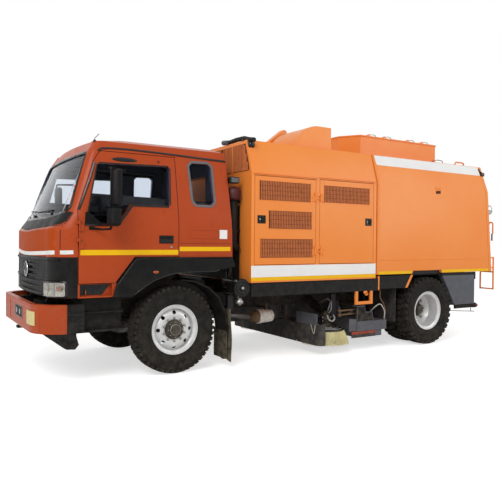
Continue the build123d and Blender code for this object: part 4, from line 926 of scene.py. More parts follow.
def front_trim():
    """Scuttle, windscreen seal, white strip and flap seams across the front."""
    tree = skin("cab_shell")
    low = [(0, 1702), (434, 1720), (835, 1738), (990, 1752), (1026, 1790)]
    high = [(0, 1834), (500, 1834), (880, 1872), (1000, 1892), (1034, 1886)]
    seal = softened(grown(SCREEN, 16), 60)
    band = [(-965, 1450), (-700, 1440), (-157, 1424), (157, 1424), (700, 1440), (965, 1450)]
    flap = [(0, 1694), (434, 1712), (835, 1730), (993, 1742), (1027, 1762), (1036, 1805), (1040, 1885)]
    lip = [(0, 1682), (434, 1700), (940, 1722)]
    bead = {"taper": 0.005, "columns": 2}
    parts = [
        panel("moulded_black", tree, whole(low), whole(high), 0.004, FRONT, rows=4),
        laid("gloss_black", tree, seal, 0.032, 0.008, FRONT, closed=True, step=0.04, **bead),
        laid("white_tape", tree, band, 0.043, 0.0015, FRONT, step=0.05),
        laid("gloss_black", tree, whole(flap), 0.008, 0.0008, FRONT, step=0.04),
        laid("cab_enamel", tree, whole(lip), 0.020, 0.006, FRONT, step=0.05, **bead),
    ]
    for side in SIDES:
        seam = [(side * 1019, 1735), (side * 1017, 1484)]
        parts.append(laid("gloss_black", tree, seam, 0.006, 0.0008, FRONT, step=0.05))
    return parts


def wiper(pivot, tip, blade):
    """Wiper lying on the windscreen: arm, blade and boss laid by rays. Places are (left, up) in mm."""
    tree = skin("cab_glass", "cab_shell")
    foot, end = [landed(tree, place, FRONT) for place in outside([pivot, tip], FRONT)]
    base = foot[0] + foot[1] * 0.012
    rise = end[0] + end[1] * 0.022
    line = [landed(tree, place, FRONT) for place in resampled(outside(blade, FRONT), 0.08)]
    bars = (([base, base.lerp(rise, 0.5) + foot[1] * 0.014, rise], 0.006, 8),
            ([hit + normal * 0.010 for hit, normal in line], 0.007, 8),
            ([foot[0] - foot[1] * 0.01, foot[0] + foot[1] * 0.022], 0.018, 16))
    return [painted(tube("wiper", *bar), "gloss_black") for bar in bars]


def grille_trim():
    """Blank badge and ledges of the black front panel."""
    tree = skin("cab_grille")
    badge_height = 1.235
    hit, _ = landed(tree, Vector((AHEAD, -0.005, badge_height)), FRONT)
    centre = (hit.x, -0.009, badge_height)
    rim = [(94, -6), (94, 10), (90, 16), (84, 12), (84, -6)]
    parts = [spun("gloss_black", centre, [(88, -12), (88, 10), (82, 14), (74, 10)], "x", 40),
             spun("chrome_plate", centre, rim, "x", 40, ring=True)]
    for z, width in ((1372, 0.034), (1152, 0.022), (980, 0.030)):
        line = whole([(0, z), (500, z), (1010, z)])
        parts.append(laid("moulded_black", tree, line, width, 0.016, FRONT, step=0.05, taper=0.010,
                          columns=3))
    return parts


def make_cab(sizes):
    """Shell, grille and doors in their finishes, with their trim, wipers and aerial."""
    shell = dressed("cab_shell", "cab_enamel", sizes.panel_edge, segments=3)
    repainted(shell, "moulded_black", (1100, -1060, 690), (1560, 1060, 962))
    repainted(shell, "hood_enamel", (1380, -1100, 1430), (1700, 1100, 1950))
    lined(shell)
    dressed("cab_grille", "moulded_black", 0.004)
    for label in SIDES.values():
        lined(dressed("cab_door_" + label, "cab_enamel", sizes.panel_edge))
    both_sides("door_trim_{}", door_trim(), DOORS)
    both_sides("cab_trim_{}", cab_trim(), ("cab", "cab"))
    piece("front_trim", front_trim(), "cab", "black_plastic")
    piece("grille_trim", grille_trim(), "cab", "black_plastic")
    wipers = wiper((560, 1885), (120, 1935), [(560, 1922), (-180, 1922)])
    wipers += wiper((-180, 1870), (-560, 1950), [(-230, 1935), (-880, 1960)])
    piece("wipers", wipers, "cab", "black_plastic")
    parts = [pipe("gloss_black", [(921, 850, 2700), (919, 851, 2740), (870, 853, 2790)], 0.004, 8),
             block("gloss_black", (906, 838, 2690), (936, 862, 2722), 0.006)]
    piece("antenna", parts, "cab", "black_plastic")


def headlamp(side):
    """One headlamp: reflector bowl, indicator beyond a divider, and rim under a clear lens."""
    tree = skin("headlamps", "cab_grille", "cab_shell")
    share = 0.74

    def bowl(u, v):
        """Depth of a wide dished reflector and a narrow one beside it."""
        across = abs(u / share - 0.5) * 2 if u < share else abs((u - share) / (1 - share) - 0.5) * 2
        up = abs(v - 0.5) * 2
        return -0.026 + 0.022 * min(1.0, across ** 2 + 0.8 * up ** 2)

    def sided(*line):
        """Line on this lamp's side."""
        return [(side * y, z) for y, z in line]

    low = sided((692, 966), (872, 970), (1052, 979))
    high = sided((692, 1106), (872, 1120), (1052, 1129))
    bulb_low = sided((984, 1034), (1024, 1034))
    bulb_high = sided((984, 1078), (1024, 1078))
    rim = softened(sided((686, 958), (1058, 971), (1058, 1137), (686, 1114)), 22)
    return [
        panel("chrome_plate", tree, low, high, bowl, FRONT, rows=12, step=0.012, sink=0.034),
        panel("lamp_lens", tree, low, high, 0.004, FRONT, rows=4, step=0.03, sink=0.001),
        panel("amber_lens", tree, bulb_low, bulb_high, -0.006, FRONT, rows=3),
        laid("gloss_black", tree, rim, 0.014, 0.008, FRONT, closed=True, taper=0.004, columns=2),
        laid("chrome_plate", tree, sided((960, 973), (960, 1124)), 0.012, 0.005, FRONT),
    ]


def make_headlamps():
    """Both headlamps, as one piece."""
    piece("headlamp_units", headlamp(1) + headlamp(-1), "cab", "lamp_glass", "headlamps")


def make_bumper():
    """Bumper open at its back, with end caps, lamps and a blank plate."""
    bumper = painted(rounded(merged_copy("front_bumper", "bumper_skin"), 0.018, 4), "cab_enamel")
    build = bmesh.new()
    build.from_mesh(bumper.data)
    everything = build.verts[:] + build.edges[:] + build.faces[:]
    bmesh.ops.bisect_plane(build, geom=everything, plane_co=at(1281, 0, 0), plane_no=(1, 0, 0))
    build.to_mesh(bumper.data)
    build.free()
    repainted(bumper, "moulded_black", (1000, -1200, 380), (1700, 1200, 583))
    repainted(bumper, "moulded_black", (1000, -1200, 380), (1281, 1200, 900))
    fitted(bumper, "chassis", ["front_bumper"])
    tree = skin("front_bumper")
    parts = []
    for side, aim in ((1, LEFT), (-1, RIGHT)):
        low, high = [(1282, 583), (1100, 583)], [(1282, 886), (1100, 886)]
        parts.append(panel("moulded_black", tree, low, high, 0.004, aim, rows=3))
        for z in (684, 784):
            parts.append(laid("gloss_black", tree, [(1278, z), (1104, z)], 0.012, 0.007, aim, step=0.1))
        for x, reach in ((1290, 1070), (1440, 870)):
            parts.append(block("moulded_black", (1104, side * 420, 806), (x, side * reach, 818)))
            parts.append(block("moulded_black", (1104, side * 420, 700), (1116, side * reach, 818)))
    x = 1600
    parts.append(block("cab_enamel", (x - 10, -111, 662), (x + 2, 391, 843), 0.010))
    parts.append(block("gloss_black", (x - 2, -86, 684), (x + 4, 366, 822), 0.008))
    for y in (50, 240):
        parts.append(block("moulded_black", (x + 2, y - 70, 694), (x + 8, y + 70, 812), 0.010))
        parts.append(dome("chrome_plate", at(x + 6, y, 752), (0.006, 0.034, 0.034)))
    parts.append(panel("plate_cream", tree, [(630, 665), (892, 665)], [(630, 815), (892, 815)], 0.006, FRONT,
                       rows=2))
    pressing = softened([(-402, 605), (948, 605), (948, 845), (-402, 845)], 24)
    parts.append(laid("cab_enamel", tree, pressing, 0.012, 0.005, FRONT, closed=True, step=0.04, taper=0.004,
                      columns=2))
    piece("bumper_fittings", parts, "chassis", "black_plastic")


def make_mirrors():
    """Two mirror heads a side on a bent tube arm, with their glass facing back."""
    parts = []
    for low, high, x0, x1 in ((1954, 2349, 776, 845), (1742, 1932, 786, 890)):
        parts.append(block("moulded_black", (x0, 1186, low), (x1, 1404, high), 0.030, 4))
        parts.append(block("chrome_plate", (x0 - 2, 1216, low + 26), (x0 + 4, 1374, high - 26), 0.002))
    post = [(850, 1230, 1708), (850, 1230, 2372), (846, 1150, 2378), (640, 1012, 2376)]
    parts.append(pipe("moulded_black", post, 0.013, bend=0.04))
    low_arm = [(850, 1230, 1708), (930, 1160, 1702), (1010, 1086, 1716)]
    parts.append(pipe("moulded_black", low_arm, 0.012, bend=0.03))
    parts.append(block("moulded_black", (985, 1078, 1698), (1050, 1104, 1736), 0.008))
    parts.append(block("moulded_black", (610, 995, 2360), (672, 1022, 2394), 0.008))
    both_sides("mirror_{}_shaped", parts, DOORS, "mirror_{}")


def seat(y0, y1):
    """Seat with a padded base and a raked back, on a plinth."""
    back = [(-230, 1530), (-345, 2190), (-250, 2200), (-135, 1550)]
    return [block("seat_cloth", (-300, y0, 1440), (200, y1, 1550), 0.04, 4),
            sheet("seat_cloth", back, y0 + 15, y1 - 15, 0.035, 4),
            block("trim_grey", (-280, y0 + 40, 1398), (170, y1 - 40, 1450), 0.008)]


def make_interior():
    """Seats, dash and a steering wheel on its column."""
    dash = [(1250, 1150), (1250, 1740), (1215, 1748), (1085, 1700), (1070, 1560), (1110, 1400), (1200, 1150)]
    parts = seat(-820, -320) + seat(60, 860)
    parts.append(sheet("trim_grey", dash, -900, 900, 0.02, 3))
    parts.append(block("trim_grey", (1075, -720, 1690), (1200, -320, 1760), 0.03))
    parts.append(pipe("trim_grey", [(1110, -520, 1590), (790, -520, 1838)], 0.028, 16))
    centre = at(790, -520, 1838)
    turn = Matrix.Translation(centre) @ Matrix.Rotation(math.radians(-52.5), 4, "Y")
    rim = [turn @ Vector((0, *spot)) for spot in circle(0.215, 40)]
    parts.append(painted(tube("rim", rim, 0.014, closed=True), "gloss_black"))
    for angle in (0.35, math.pi - 0.35, -math.pi / 2):
        end = turn @ Vector((0, 0.21 * math.cos(angle), 0.21 * math.sin(angle)))
        parts.append(painted(tube("spoke", [centre, end], 0.010, 8), "gloss_black"))
    piece("cab_fittings", parts, "cab", "cab_trim", "cab_interior")


def make_wings():
    """Black wings, with a lip and a ridge over each wheel and a side lamp."""
    dressed("cab_wings", "moulded_black", 0.012, segments=3)
    lip = [(547, 968), (470, 1021), (405, 1068), (305, 1124), (206, 1161), (100, 1191), (-10, 1209),
           (-260, 1215), (-510, 1217), (-578, 1244)]
    ridge = [(774, 985), (728, 1095), (560, 1325), (510, 1370), (400, 1384), (-700, 1376)]
    parts = [pipe("gloss_black", [(x, 1117, z) for x, z in lip], 0.011, 10),
             pipe("gloss_black", [(x, 1119, z) for x, z in ridge], 0.006, 8),
             dome("amber_lens", at(280, 1121, 1222), (0.036, 0.012, 0.018))]
    both_sides("wing_lip_{}", parts, ("cab", "cab"))


# ---------------------------------------------------------------- canopy over the auxiliary engine
BODY_SIDE = 1200
# Grilles of the canopy doors: door, low and high station, low and high height, in mm.
GRILLES = (
    ("front", (-1903, -1076), (2113, 2364)),
    ("front", (-1924, -1220), (1750, 1987)),
    ("front", (-1941, -1095), (1374, 1624)),
    ("rear", (-2976, -2127), (2124, 2360)),
)
# Hinge pins of the canopy doors: station in mm and the way the door lies from it, in degrees.
HINGE_PINS = {"front": (-1975, 0), "rear": (-2072, 180)}
HINGE_HEIGHTS = (1450, 2170)
# Latches: door, station, height.
LATCHES = (("front", -1114, 1867), ("rear", -2955, 1876))


def grille(sizes, x, z):
    """Pressed grille over a backing of painted shade: rows of narrow upright slats in a frame."""
    y = BODY_SIDE
    margin = 6
    rows = sizes.grille_rows
    pitch = sizes.slat_pitch / MM
    count = int((x[1] - x[0] - 2 * margin) / pitch)
    height = (z[1] - z[0] - 2 * margin) / rows
    left = x[0] + margin
    # Backing block: painted shade, the dark of the space behind the slats.
    parts = [block("painted_shade", (x[0], y - 2, z[0]), (x[1], y + 1.5, z[1]))]
    for row in range(rows):
        low = z[0] + margin + row * height
        slat = brick("slat", (left + pitch * 0.2, y, low + 2),
                     (left + pitch * 0.74, y + 6, low + height - 2))
        parts.append(copies(slat, count, "grille_brown", step=(pitch * MM, 0, 0)))
    bars = [((x[0] - 4, middle - 4), (x[1] + 4, middle + 4)) for middle in z]
    bars += [((middle - 4, z[0] - 4), (middle + 4, z[1] + 4)) for middle in x]
    for low, high in bars:
        parts.append(block("body_enamel", (low[0], y - 1, low[1]), (high[0], y + 4, high[1]), 0.0015, 2))
    return parts


def latch(x, z):
    """Black paddle latch in its square pan."""
    y = BODY_SIDE
    return [block("moulded_black", (x - 62, y - 1, z - 52), (x + 62, y + 5, z + 52), 0.004),
            block("gloss_black", (x - 46, y + 4, z - 38), (x + 46, y + 6, z + 38)),
            block("moulded_black", (x - 40, y + 5, z - 30), (x + 6, y + 16, z + 30), 0.004),
            spun("zinc_plate", at(x + 26, y + 7, z), [(12, -4), (12, 4)], segments=16)]


def hinge_leaf(x, z, turns, reach):
    """Tapered straps of a hinge, spread round its pin."""
    straps = []
    for turn in turns:
        ahead, up = math.cos(math.radians(turn)), math.sin(math.radians(turn))
        outline = [(x + out * ahead - half * up, z + out * up + half * ahead)
                   for out, half in ((14, 13), (reach, 9), (reach, -9), (14, -13))]
        straps.append(sheet("body_enamel", outline, BODY_SIDE - 1, BODY_SIDE + 12, 0.003))
    return straps


def make_canopy_doors(sizes):
    """Doors with their hinges, grilles and latches."""
    for name, (pin, facing) in HINGE_PINS.items():
        parts = []
        for z in HINGE_HEIGHTS:
            parts += hinge_leaf(pin, z, (facing - 38, facing + 38), 56)
        for owner, x, z in GRILLES:
            parts += grille(sizes, x, z) if owner == name else []
        for owner, x, z in LATCHES:
            parts += latch(x, z) if owner == name else []
        bodies = (f"left_{name}_canopy_door", f"right_{name}_canopy_door")
        both_sides(f"canopy_{name}_fittings_{{}}", parts, bodies)
        for label in SIDES.values():
            dressed(f"canopy_door_{name}_{label}", "body_enamel", 0.003)


def make_canopy(sizes):
    """Shell and roof pods, with bands, drip rails, edge strip and the hinges' fixed leaves."""
    dressed("canopy_shell", "body_enamel", sizes.sheet_edge)
    dressed("roof_pods", "body_enamel", 0.010, segments=3)
    tree = skin("canopy_shell")
    parts = [laid("white_enamel", tree, [(-3106, 1204), (-964, 1204)], 0.148, TAPE_RISE, step=0.3),
             laid("yellow_tape", tree, [(-3106, 1107), (-964, 1107)], 0.044, TAPE_RISE, step=0.3)]
    for x0, x1, z in ((-2012, -985, 2443), (-3085, -2040, 2453)):
        drip = [(x0, z), (x1, z), (x1, z + 5), (x0, z + 9)]
        parts.append(sheet("body_enamel", drip, BODY_SIDE - 2, BODY_SIDE + 16, 0.002))
    parts.append(block("body_enamel", (-3108, BODY_SIDE - 2, 1062), (-962, BODY_SIDE + 3, 1082), 0.002, 2))
    for pin, facing in HINGE_PINS.values():
        for z in HINGE_HEIGHTS:
            parts += hinge_leaf(pin, z, (facing + 180,), 38)
    both_sides("canopy_bands_{}", parts, ("chassis", "chassis"))
    make_front_louvres()
    make_roof_fittings()


def upright(outline, low, high):
    """Outline (ahead, left) drawn out upwards between two heights, all in millimetres."""
    return slab("upright", [(AXLE_X + x * MM, y * MM) for x, y in outline], "z", low * MM, high * MM)


def make_front_louvres():
    """Upright folded slats across the canopy's front, over a backing of painted shade."""
    x = -961
    foot, top = 2492, 2830
    parts = []
    zones = ((-948, -732), (-690, -474), (-432, -216), (-174, 174), (216, 432), (474, 690), (732, 948))
    for low, high in zones:
        # Backing: painted shade, the dark behind the slats.
        parts.append(block("painted_shade", (x - 4, low, 2486), (x + 2, high, 2836)))
        count = round((high - low) / 36)
        width = (high - low) / count
        fold = [(x + 1, low + 3), (x + 1, low + width - 9), (x + 17, low + width - 14)]
        parts.append(copies(upright(fold, foot, top), count, "grille_brown", step=(0, width * MM, 0)))
    edge = ((952, 2486), (1146, 2486), (1130, 2560), (1060, 2800), (1046, 2836), (952, 2836))
    for side in SIDES:
        outline = [(side * y * MM, z * MM) for y, z in edge]
        # Backing at each end: painted shade behind the slats.
        back = slab("back", outline, "x", AXLE_X + (x - 4) * MM, AXLE_X + (x + 2) * MM)
        parts.append(painted(back, "painted_shade"))
        for y in range(958, 1130, 32):
            fold = [(x + 1, side * y), (x + 1, side * (y + 22)), (x + 17, side * (y + 17))]
            slope = 2812 - (y + 24 - 1046) * 3.4
            parts.append(painted(upright(fold, foot, min(top, slope)), "grille_brown"))
    piece("front_louvres", parts, "chassis", "body_orange")


def make_roof_fittings():
    """Intake pipe, work lamps and duct at the canopy's front, with a shadow painted on the duct, a panel of
    painted shade and a painted reflection on a lamp.
    """
    intake = [(430, 2932), (560, 2915), (760, 2926), (950, 2920), (1080, 2885), (1190, 2866)]
    parts = [pipe("hose_rubber", [(-1000, y, z) for y, z in intake], 0.030, 20, 0.08),
             pipe("grey_enamel", [(-1000, 400, 2936), (-1000, 556, 2916)], 0.034, 20)]
    for y in (600, 980):
        parts.append(block("gloss_black", (-1060, y - 16, 2872), (-950, y + 16, 2902), 0.006))
    duct = [(70, -90), (92, -60), (92, 30), (75, 60), (40, 78), (AXIS, 82)]
    parts += [
        pipe("gloss_black", [(-978, 1090, 2819), (-1048, 1090, 2819)], 0.042, 24),
        dome("gloss_black", at(-977, 1090, 2819), (0.010, 0.036, 0.036)),
        block("gloss_black", (-1046, 1056, 2812), (-1000, 1104, 2862), 0.008),
        # The duct's maroon is painted shadow, cast by the lamp above it.
        spun("duct_painted_shadow", at(-846, 950, 2205), duct, "z", 32),
        pipe("hose_rubber", [(-846, 950, 2120), (-846, 950, 1560), (-900, 950, 1480)], 0.05, 20),
        block("chassis_black", (-968, 880, 1700), (-850, 930, 1740), 0.005),
        # Painted shade: a dark panel on the canopy's lower front, in the shade behind the cab.
        block("chassis_black", (-952, -930, 1075), (-943, 930, 2050), 0.002, 2),
        block("chassis_black", (-968, 880, 2080), (-850, 930, 2120), 0.005),
    ]
    piece("canopy_fittings", parts, "chassis", "black_plastic")
    lamp = [block("gloss_black", (-873, 955, 2318), (-740, 1055, 2400), 0.012),
            # Painted reflection: a grey face for the glint on the lamp's front.
            block("glazing_rubber", (-862, 1050, 2330), (-752, 1060, 2388), 0.004),
            block("gloss_black", (-790, 915, 2345), (-722, 965, 2370), 0.006)]
    piece("cab_rear_lamp", lamp, "cab", "black_plastic")


# ---------------------------------------------------------------- hopper and tailgate
def make_hopper(sizes):
    """Shell with its bands, ribs, corner lamps, arch lips and hoops."""
    dressed("hopper_shell", "body_enamel", sizes.sheet_edge)
    tree = skin("hopper_shell")
    top_low, top_high = [(-3190, 2728), (-5586, 2728)], [(-3150, 2874), (-5574, 2874)]
    rib = [(-3146, 1116), (-3146, 2450), (-3146, 2876)]
    lamp_arm = [(-5584, 1092, 2846), (-5600, 1104, 2800), (-5650, 1118, 2778)]
    hoop = [(-5093, 1000, 2868), (-5093, 1000, 2935), (-5310, 1000, 2935), (-5310, 1000, 2868)]
    parts = [
        laid("yellow_tape", tree, [(-3140, 1136), (-3868, 1136)], 0.044, TAPE_RISE, step=0.3),
        laid("yellow_tape", tree, [(-4558, 1136), (-5740, 1136)], 0.044, TAPE_RISE, step=0.3),
        panel("white_enamel", tree, top_low, top_high, 0.0015, rows=3, step=0.2),
        laid("body_enamel", tree, rib, 0.038, 0.012, step=0.05, taper=0.004, columns=3),
        laid("body_enamel", tree, [(-3168, 1327), (-5722, 1327)], 0.016, 0.006, step=0.2, taper=0.005,
             columns=2),
        # Painted shadow: a dark line under the rib above it.
        laid("painted_shade", tree, [(-4392, 2380), (-4500, 2388)], 0.044, 0.003, step=0.04),
        laid("body_enamel", tree, [(-4380, 2440), (-4500, 2446)], 0.060, 0.008, step=0.04, taper=0.008,
             columns=2),
        pipe("gloss_black", lamp_arm, 0.012, 10),
        block("gloss_black", (-5694, 1086, 2722), (-5600, 1136, 2784), 0.012),
        dome("red_lens", at(-5640, 1136, 2752), (0.028, 0.008, 0.022)),
        pipe("body_enamel", [(-3904, 1196, 1162), (-4528, 1196, 1162)], 0.008, 8),
        pipe("body_enamel", hoop, 0.012, bend=0.04),
    ]
    both_sides("hopper_bands_{}", parts, ("hopper", "hopper"))
    make_roof_box_fittings()


def lug_and_wire(x, y):
    """Folded lug and wire handle on the roof box's edge."""
    outline = [(x, 3262), (x - 118, 3262), (x - 118, 3298), (x - 98, 3298)]
    wire = [(x - 118, y - 8, 3286), (x - 190, y - 8, 3300), (x - 250, y - 8, 3292), (x - 262, y - 8, 3262)]
    return [sheet("body_enamel", outline, y - 22, y + 6, 0.003), pipe("zinc_plate", wire, 0.006, 8, 0.02)]


def make_roof_box_fittings():
    """Lugs, handles and the lid's rim on the roof box, with grab rails behind it."""
    parts = []
    for side in SIDES:
        for x in (-3430, -3770, -4310, -4650):
            parts += lug_and_wire(x, side * 590)
        y, out = side * 560, side * 620
        rail = [(-5030, y, 2990), (-5110, out, 3016), (-5240, out, 3012), (-5262, out, 2880)]
        parts.append(pipe("zinc_plate", rail, 0.008, 8, 0.03))
        parts.append(block("grille_brown", (-5072, y - 30, 2960), (-4990, y + 44, 3010), 0.006))
    lid = [(-5085, -612), (-3340, -612), (-3140, -306), (-3140, 306), (-3340, 612), (-5085, 612)]
    parts.append(painted(rounded(upright(lid, 3246, 3264), 0.004), "body_enamel"))
    piece("roof_box_fittings", parts, "hopper", "body_orange")


def tail_station(z):
    """Station of the tailgate's outer face at a height, in mm."""
    return -5756 + 166 * (z - 1112) / 1768 - 65


def ladder_gear():
    """Grab frame, hanging strap and reversing lamp outboard of the ladder."""
    x = -5872
    grab = [(x, 1180, 1750), (x, 1180, 1944), (x, 1096, 1944), (x, 1096, 1750)]
    parts = [pipe("body_enamel", grab, 0.012, bend=0.03)]
    for z in (1770, 1920):
        parts.append(pipe("body_enamel", [(x, 1120, z), (tail_station(z) + 10, 1120, z)], 0.010, 10))
    bowl = [(AXIS, 35), (50, 30), (82, 8), (86, -6)]
    stalk = [(-5850, 1112, 2160), (tail_station(2160) + 4, 1112, 2160)]
    return parts + [block("gloss_black", (x - 6, 1150, 1630), (x, 1176, 1752), 0.002),
                    spun("chrome_plate", at(-5850, 1120, 2160), bowl, "y", 36),
                    pipe("gloss_black", stalk, 0.016, 10)]


def make_tailgate():
    """Tailgate with its ribs, clamps and lamps, and the ladder."""
    dressed("tailgate", "body_enamel", 0.006)
    tree = skin("tailgate")
    parts = []
    for z in (1250, 1650, 2050, 2420):
        parts.append(laid("body_enamel", tree, [(-1150, z), (1150, z)], 0.070, 0.028, BACK, step=0.3,
                          taper=0.022, columns=3))
    for y in (-820, 820):
        parts.append(laid("body_enamel", tree, [(y, 1180), (y, 2700)], 0.060, 0.030, BACK, step=0.2,
                          taper=0.020, columns=3))
    parts.append(laid("white_tape", tree, [(-1180, 1180), (1180, 1180)], 0.060, 0.002, BACK, step=0.3))
    x = tail_station(1150)
    for y in (-1080, -500, 500, 1080):
        parts.append(block("zinc_plate", (x - 46, y - 34, 1112), (x + 4, y + 34, 1190), 0.008))
        parts.append(pipe("zinc_plate", [(x - 26, y, 1096), (x - 26, y, 1206)], 0.014))
    lamp = [(50, 30), (50, -12), (42, -20), (AXIS, -24)]
    for side in SIDES:
        for z, finish in ((2620, "red_lens"), (2540, "amber_lens")):
            parts.append(spun(finish, at(tail_station(z) - 8, side * 1020, z), lamp, "x", 28))
    piece("tailgate_fittings", parts + ladder_gear(), "rear_door", "body_orange")
    dressed("rear_ladder", "body_enamel", 0.0015)


# ---------------------------------------------------------------- brushes
BRUSH_AT = (-2460, 850)
BRUSH_RINGS = 9
# Bristles in mm: radius of the inner ring of roots and of the outer one, height of the roots,
# height of the lowest tips and how much higher the highest are, and outward lean, inner and outer.
ROOT_RADII = (205, 265)
ROOT_HEIGHT = 322
TIP_HEIGHT = 124
TIP_SPREAD = 16
LEANS = (30, 74)


def bristle(radius, top, foot, lean, width=7.0):
    """One three-sided bristle at the ring's first place, from its root to its tip, in mm."""
    x, y = BRUSH_AT
    root = at(x + radius, y, top)
    tip = at(x + radius + lean, y, foot)
    bow = Vector((0.1 * lean * MM, 0, 0))
    corners = [(math.cos(turn), math.sin(turn)) for turn in (math.pi / 2, math.pi * 7 / 6, math.pi * 11 / 6)]
    points = []
    for spot, size in ((root, width), (root.lerp(tip, 0.6) + bow, width), (tip, width / 2)):
        points += [spot + Vector((size * MM * a, size * MM * b, 0)) for a, b in corners]
    faces = [(0, 1, 2), (8, 7, 6)]
    for ring in (0, 3):
        faces += [(ring + k, ring + 3 + k, ring + 3 + (k + 1) % 3, ring + (k + 1) % 3) for k in range(3)]
    return outward(mesh_piece("bristle", points, faces))


def make_brushes(sizes):
    """Brushes: rings of bristles round a core, under a ribbed plate."""
    x, y = BRUSH_AT
    foot = at(x, y, 0)
    count = sizes.bristles
    parts = []
    for ring in range(BRUSH_RINGS):
        share = ring / (BRUSH_RINGS - 1)
        radius = ROOT_RADII[0] + (ROOT_RADII[1] - ROOT_RADII[0]) * share
        tip = TIP_HEIGHT + TIP_SPREAD * ((ring * 5) % 4) / 3
        blade = bristle(radius, ROOT_HEIGHT, tip, LEANS[0] + (LEANS[1] - LEANS[0]) * share)
        turn = Matrix.Rotation(ring * 0.37, 4, "Z")
        blade.data.transform(Matrix.Translation(foot) @ turn @ Matrix.Translation(-foot))
        parts.append(copies(blade, count, "nylon_bristle", turn=(0, 0, 2 * math.pi / count), centre=foot))
    core = [(150, 318), (232, 318), (238, 296), (276, 156), (250, 152), (190, 290)]
    plate = [(75, 372), (85, 364), (150, 360), (225, 352), (262, 348), (270, 338), (268, 316)]
    parts.append(spun("bristle_shade", foot, core, "z", 48, ring=True))
    parts.append(spun("gloss_black", foot, plate, "z", sharp=True))
    for radius, height in ((120, 364), (190, 358), (248, 352)):
        rib = [(x + a, y + b, height) for a, b in circle(radius, 56)]
        parts.append(pipe("zinc_plate", rib, 0.005, 8, closed=True))
    both_sides("brush_{}_bristled", parts, ("left_brush", "right_brush"), "brush_{}")


def make_brush_arms():
    """Painted arms with the motor's pipes, and the wire hung on the rubber."""
    for label in SIDES.values():
        arm = painted(rounded(merged_copy("brush_arm_" + label, "arm_" + label), 0.003), "chassis_black")
        repainted(arm, "grey_enamel", (-2096, -1200, 425), (-2080, 1200, 595))
        fitted(arm, label + "_brush_arm", ["brush_arm_" + label])
        dressed("brush_skirt_" + label, "rubber_sheet", 0.002)
    x, y = BRUSH_AT
    loops = (
        ("pale_hose", 0.011,
         [(-2440, 915, 530), (-2440, 950, 470), (-2492, 972, 440), (-2560, 950, 480), (-2562, 905, 530)]),
        ("zinc_plate", 0.007,
         [(-2450, 890, 540), (-2470, 915, 640), (-2518, 900, 735), (-2525, 760, 730), (-2510, 640, 640)]),
        ("pale_hose", 0.007,
         [(-2480, 880, 540), (-2500, 930, 600), (-2524, 915, 720), (-2540, 800, 760), (-2530, 600, 668)]),
    )
    parts = [pipe(finish, loop, radius, 10, 0.05) for finish, radius, loop in loops]
    motor = [(30, 585), (34, 560), (62, 556), (66, 540), (66, 500), (80, 496), (80, 470), (66, 466),
             (66, 420), (88, 414), (88, 374)]
    parts.append(spun("cast_iron", at(x, y, 0), motor, "z", 36, sharp=True))
    for z in (430, 482):
        for turn in (0.4, 2.2, 4.1):
            a, b = x + 80 * math.cos(turn), y + 80 * math.sin(turn)
            parts.append(pipe("zinc_plate", [(a, b, z), (a, b, z + 30)], 0.009, 8))
    wire = [(-2070, 1010, 440), (-2070, 1082, 296), (-2070, 1110, 440)]
    parts.append(pipe("pale_hose", wire, 0.005, 8, 0.01))
    both_sides("brush_pipes_{}", parts, ("left_brush_arm", "right_brush_arm"))


# ---------------------------------------------------------------- suction nozzle and what hangs by it
def make_nozzle():
    """Nozzle and its hangers, with webs, rods, pipes and a hook beside it."""
    dressed("suction_nozzle", "grey_enamel", 0.005)
    dressed("orange_hangers", "body_enamel", 0.004)
    end = [(-2690, 300), (-2690, 484), (-2830, 470), (-2830, 300)]
    web = [(-2850, 430), (-2850, 660), (-2990, 660), (-3010, 560), (-3140, 560), (-3170, 430)]
    parts = [sheet("grey_enamel", end, 1096, 1112, 0.003)]
    for y in (1010, 1086):
        parts.append(sheet("chassis_black", web, y, y + 10, 0.002))
    for x, top in ((-2900, 640), (-3000, 556), (-3100, 556)):
        parts.append(block("grey_enamel", (x, 1018, 430), (x + 10, 1090, top), 0.002))
    parts.append(pipe("grey_enamel", [(x, 1098, z) for x, z in web], 0.009, 8, closed=True))
    parts.append(block("grey_enamel", (-2995, 1005, 640), (-2845, 1100, 662), 0.004))
    eye = [(12, -12), (26, -12), (26, 12), (12, 12)]
    for z in (600, 540):
        parts.append(pipe("rusty_steel", [(-2566, 1040, z), (-3006, 1040, z + 6)], 0.013))
        parts.append(spun("rusty_steel", at(-2566, 1040, z), eye, "y", 20, ring=True))
    outer = [(-3150, 1050, 560), (-3202, 1100, 634), (-3303, 1110, 684), (-3392, 1110, 560),
             (-3392, 1100, 428)]
    inner = [(-3262, 1140, 886), (-3280, 1120, 760), (-3368, 1110, 672), (-3404, 1110, 560),
             (-3400, 1090, 428)]
    hook = [(-2930, 1176, 886), (-2930, 1176, 836), (-2952, 1176, 818), (-2975, 1176, 836),
            (-2975, 1176, 850)]
    parts += [
        block("red_strip", (-3206, 1101, 250), (-2740, 1109, 292), 0.002),
        block("rubber_sheet", (-3206, 1099, 200), (-2740, 1107, 252), 0.002),
        pipe("pale_hose", outer, 0.009, 10, 0.08),
        pipe("rusty_steel", inner, 0.009, 10, 0.08),
        pipe("body_enamel", hook, 0.011, 10, 0.02),
        block("body_enamel", (-2968, 1166, 850), (-2900, 1182, 888), 0.004),
    ]
    both_sides("nozzle_fittings_{}", parts, ("chassis", "chassis"))


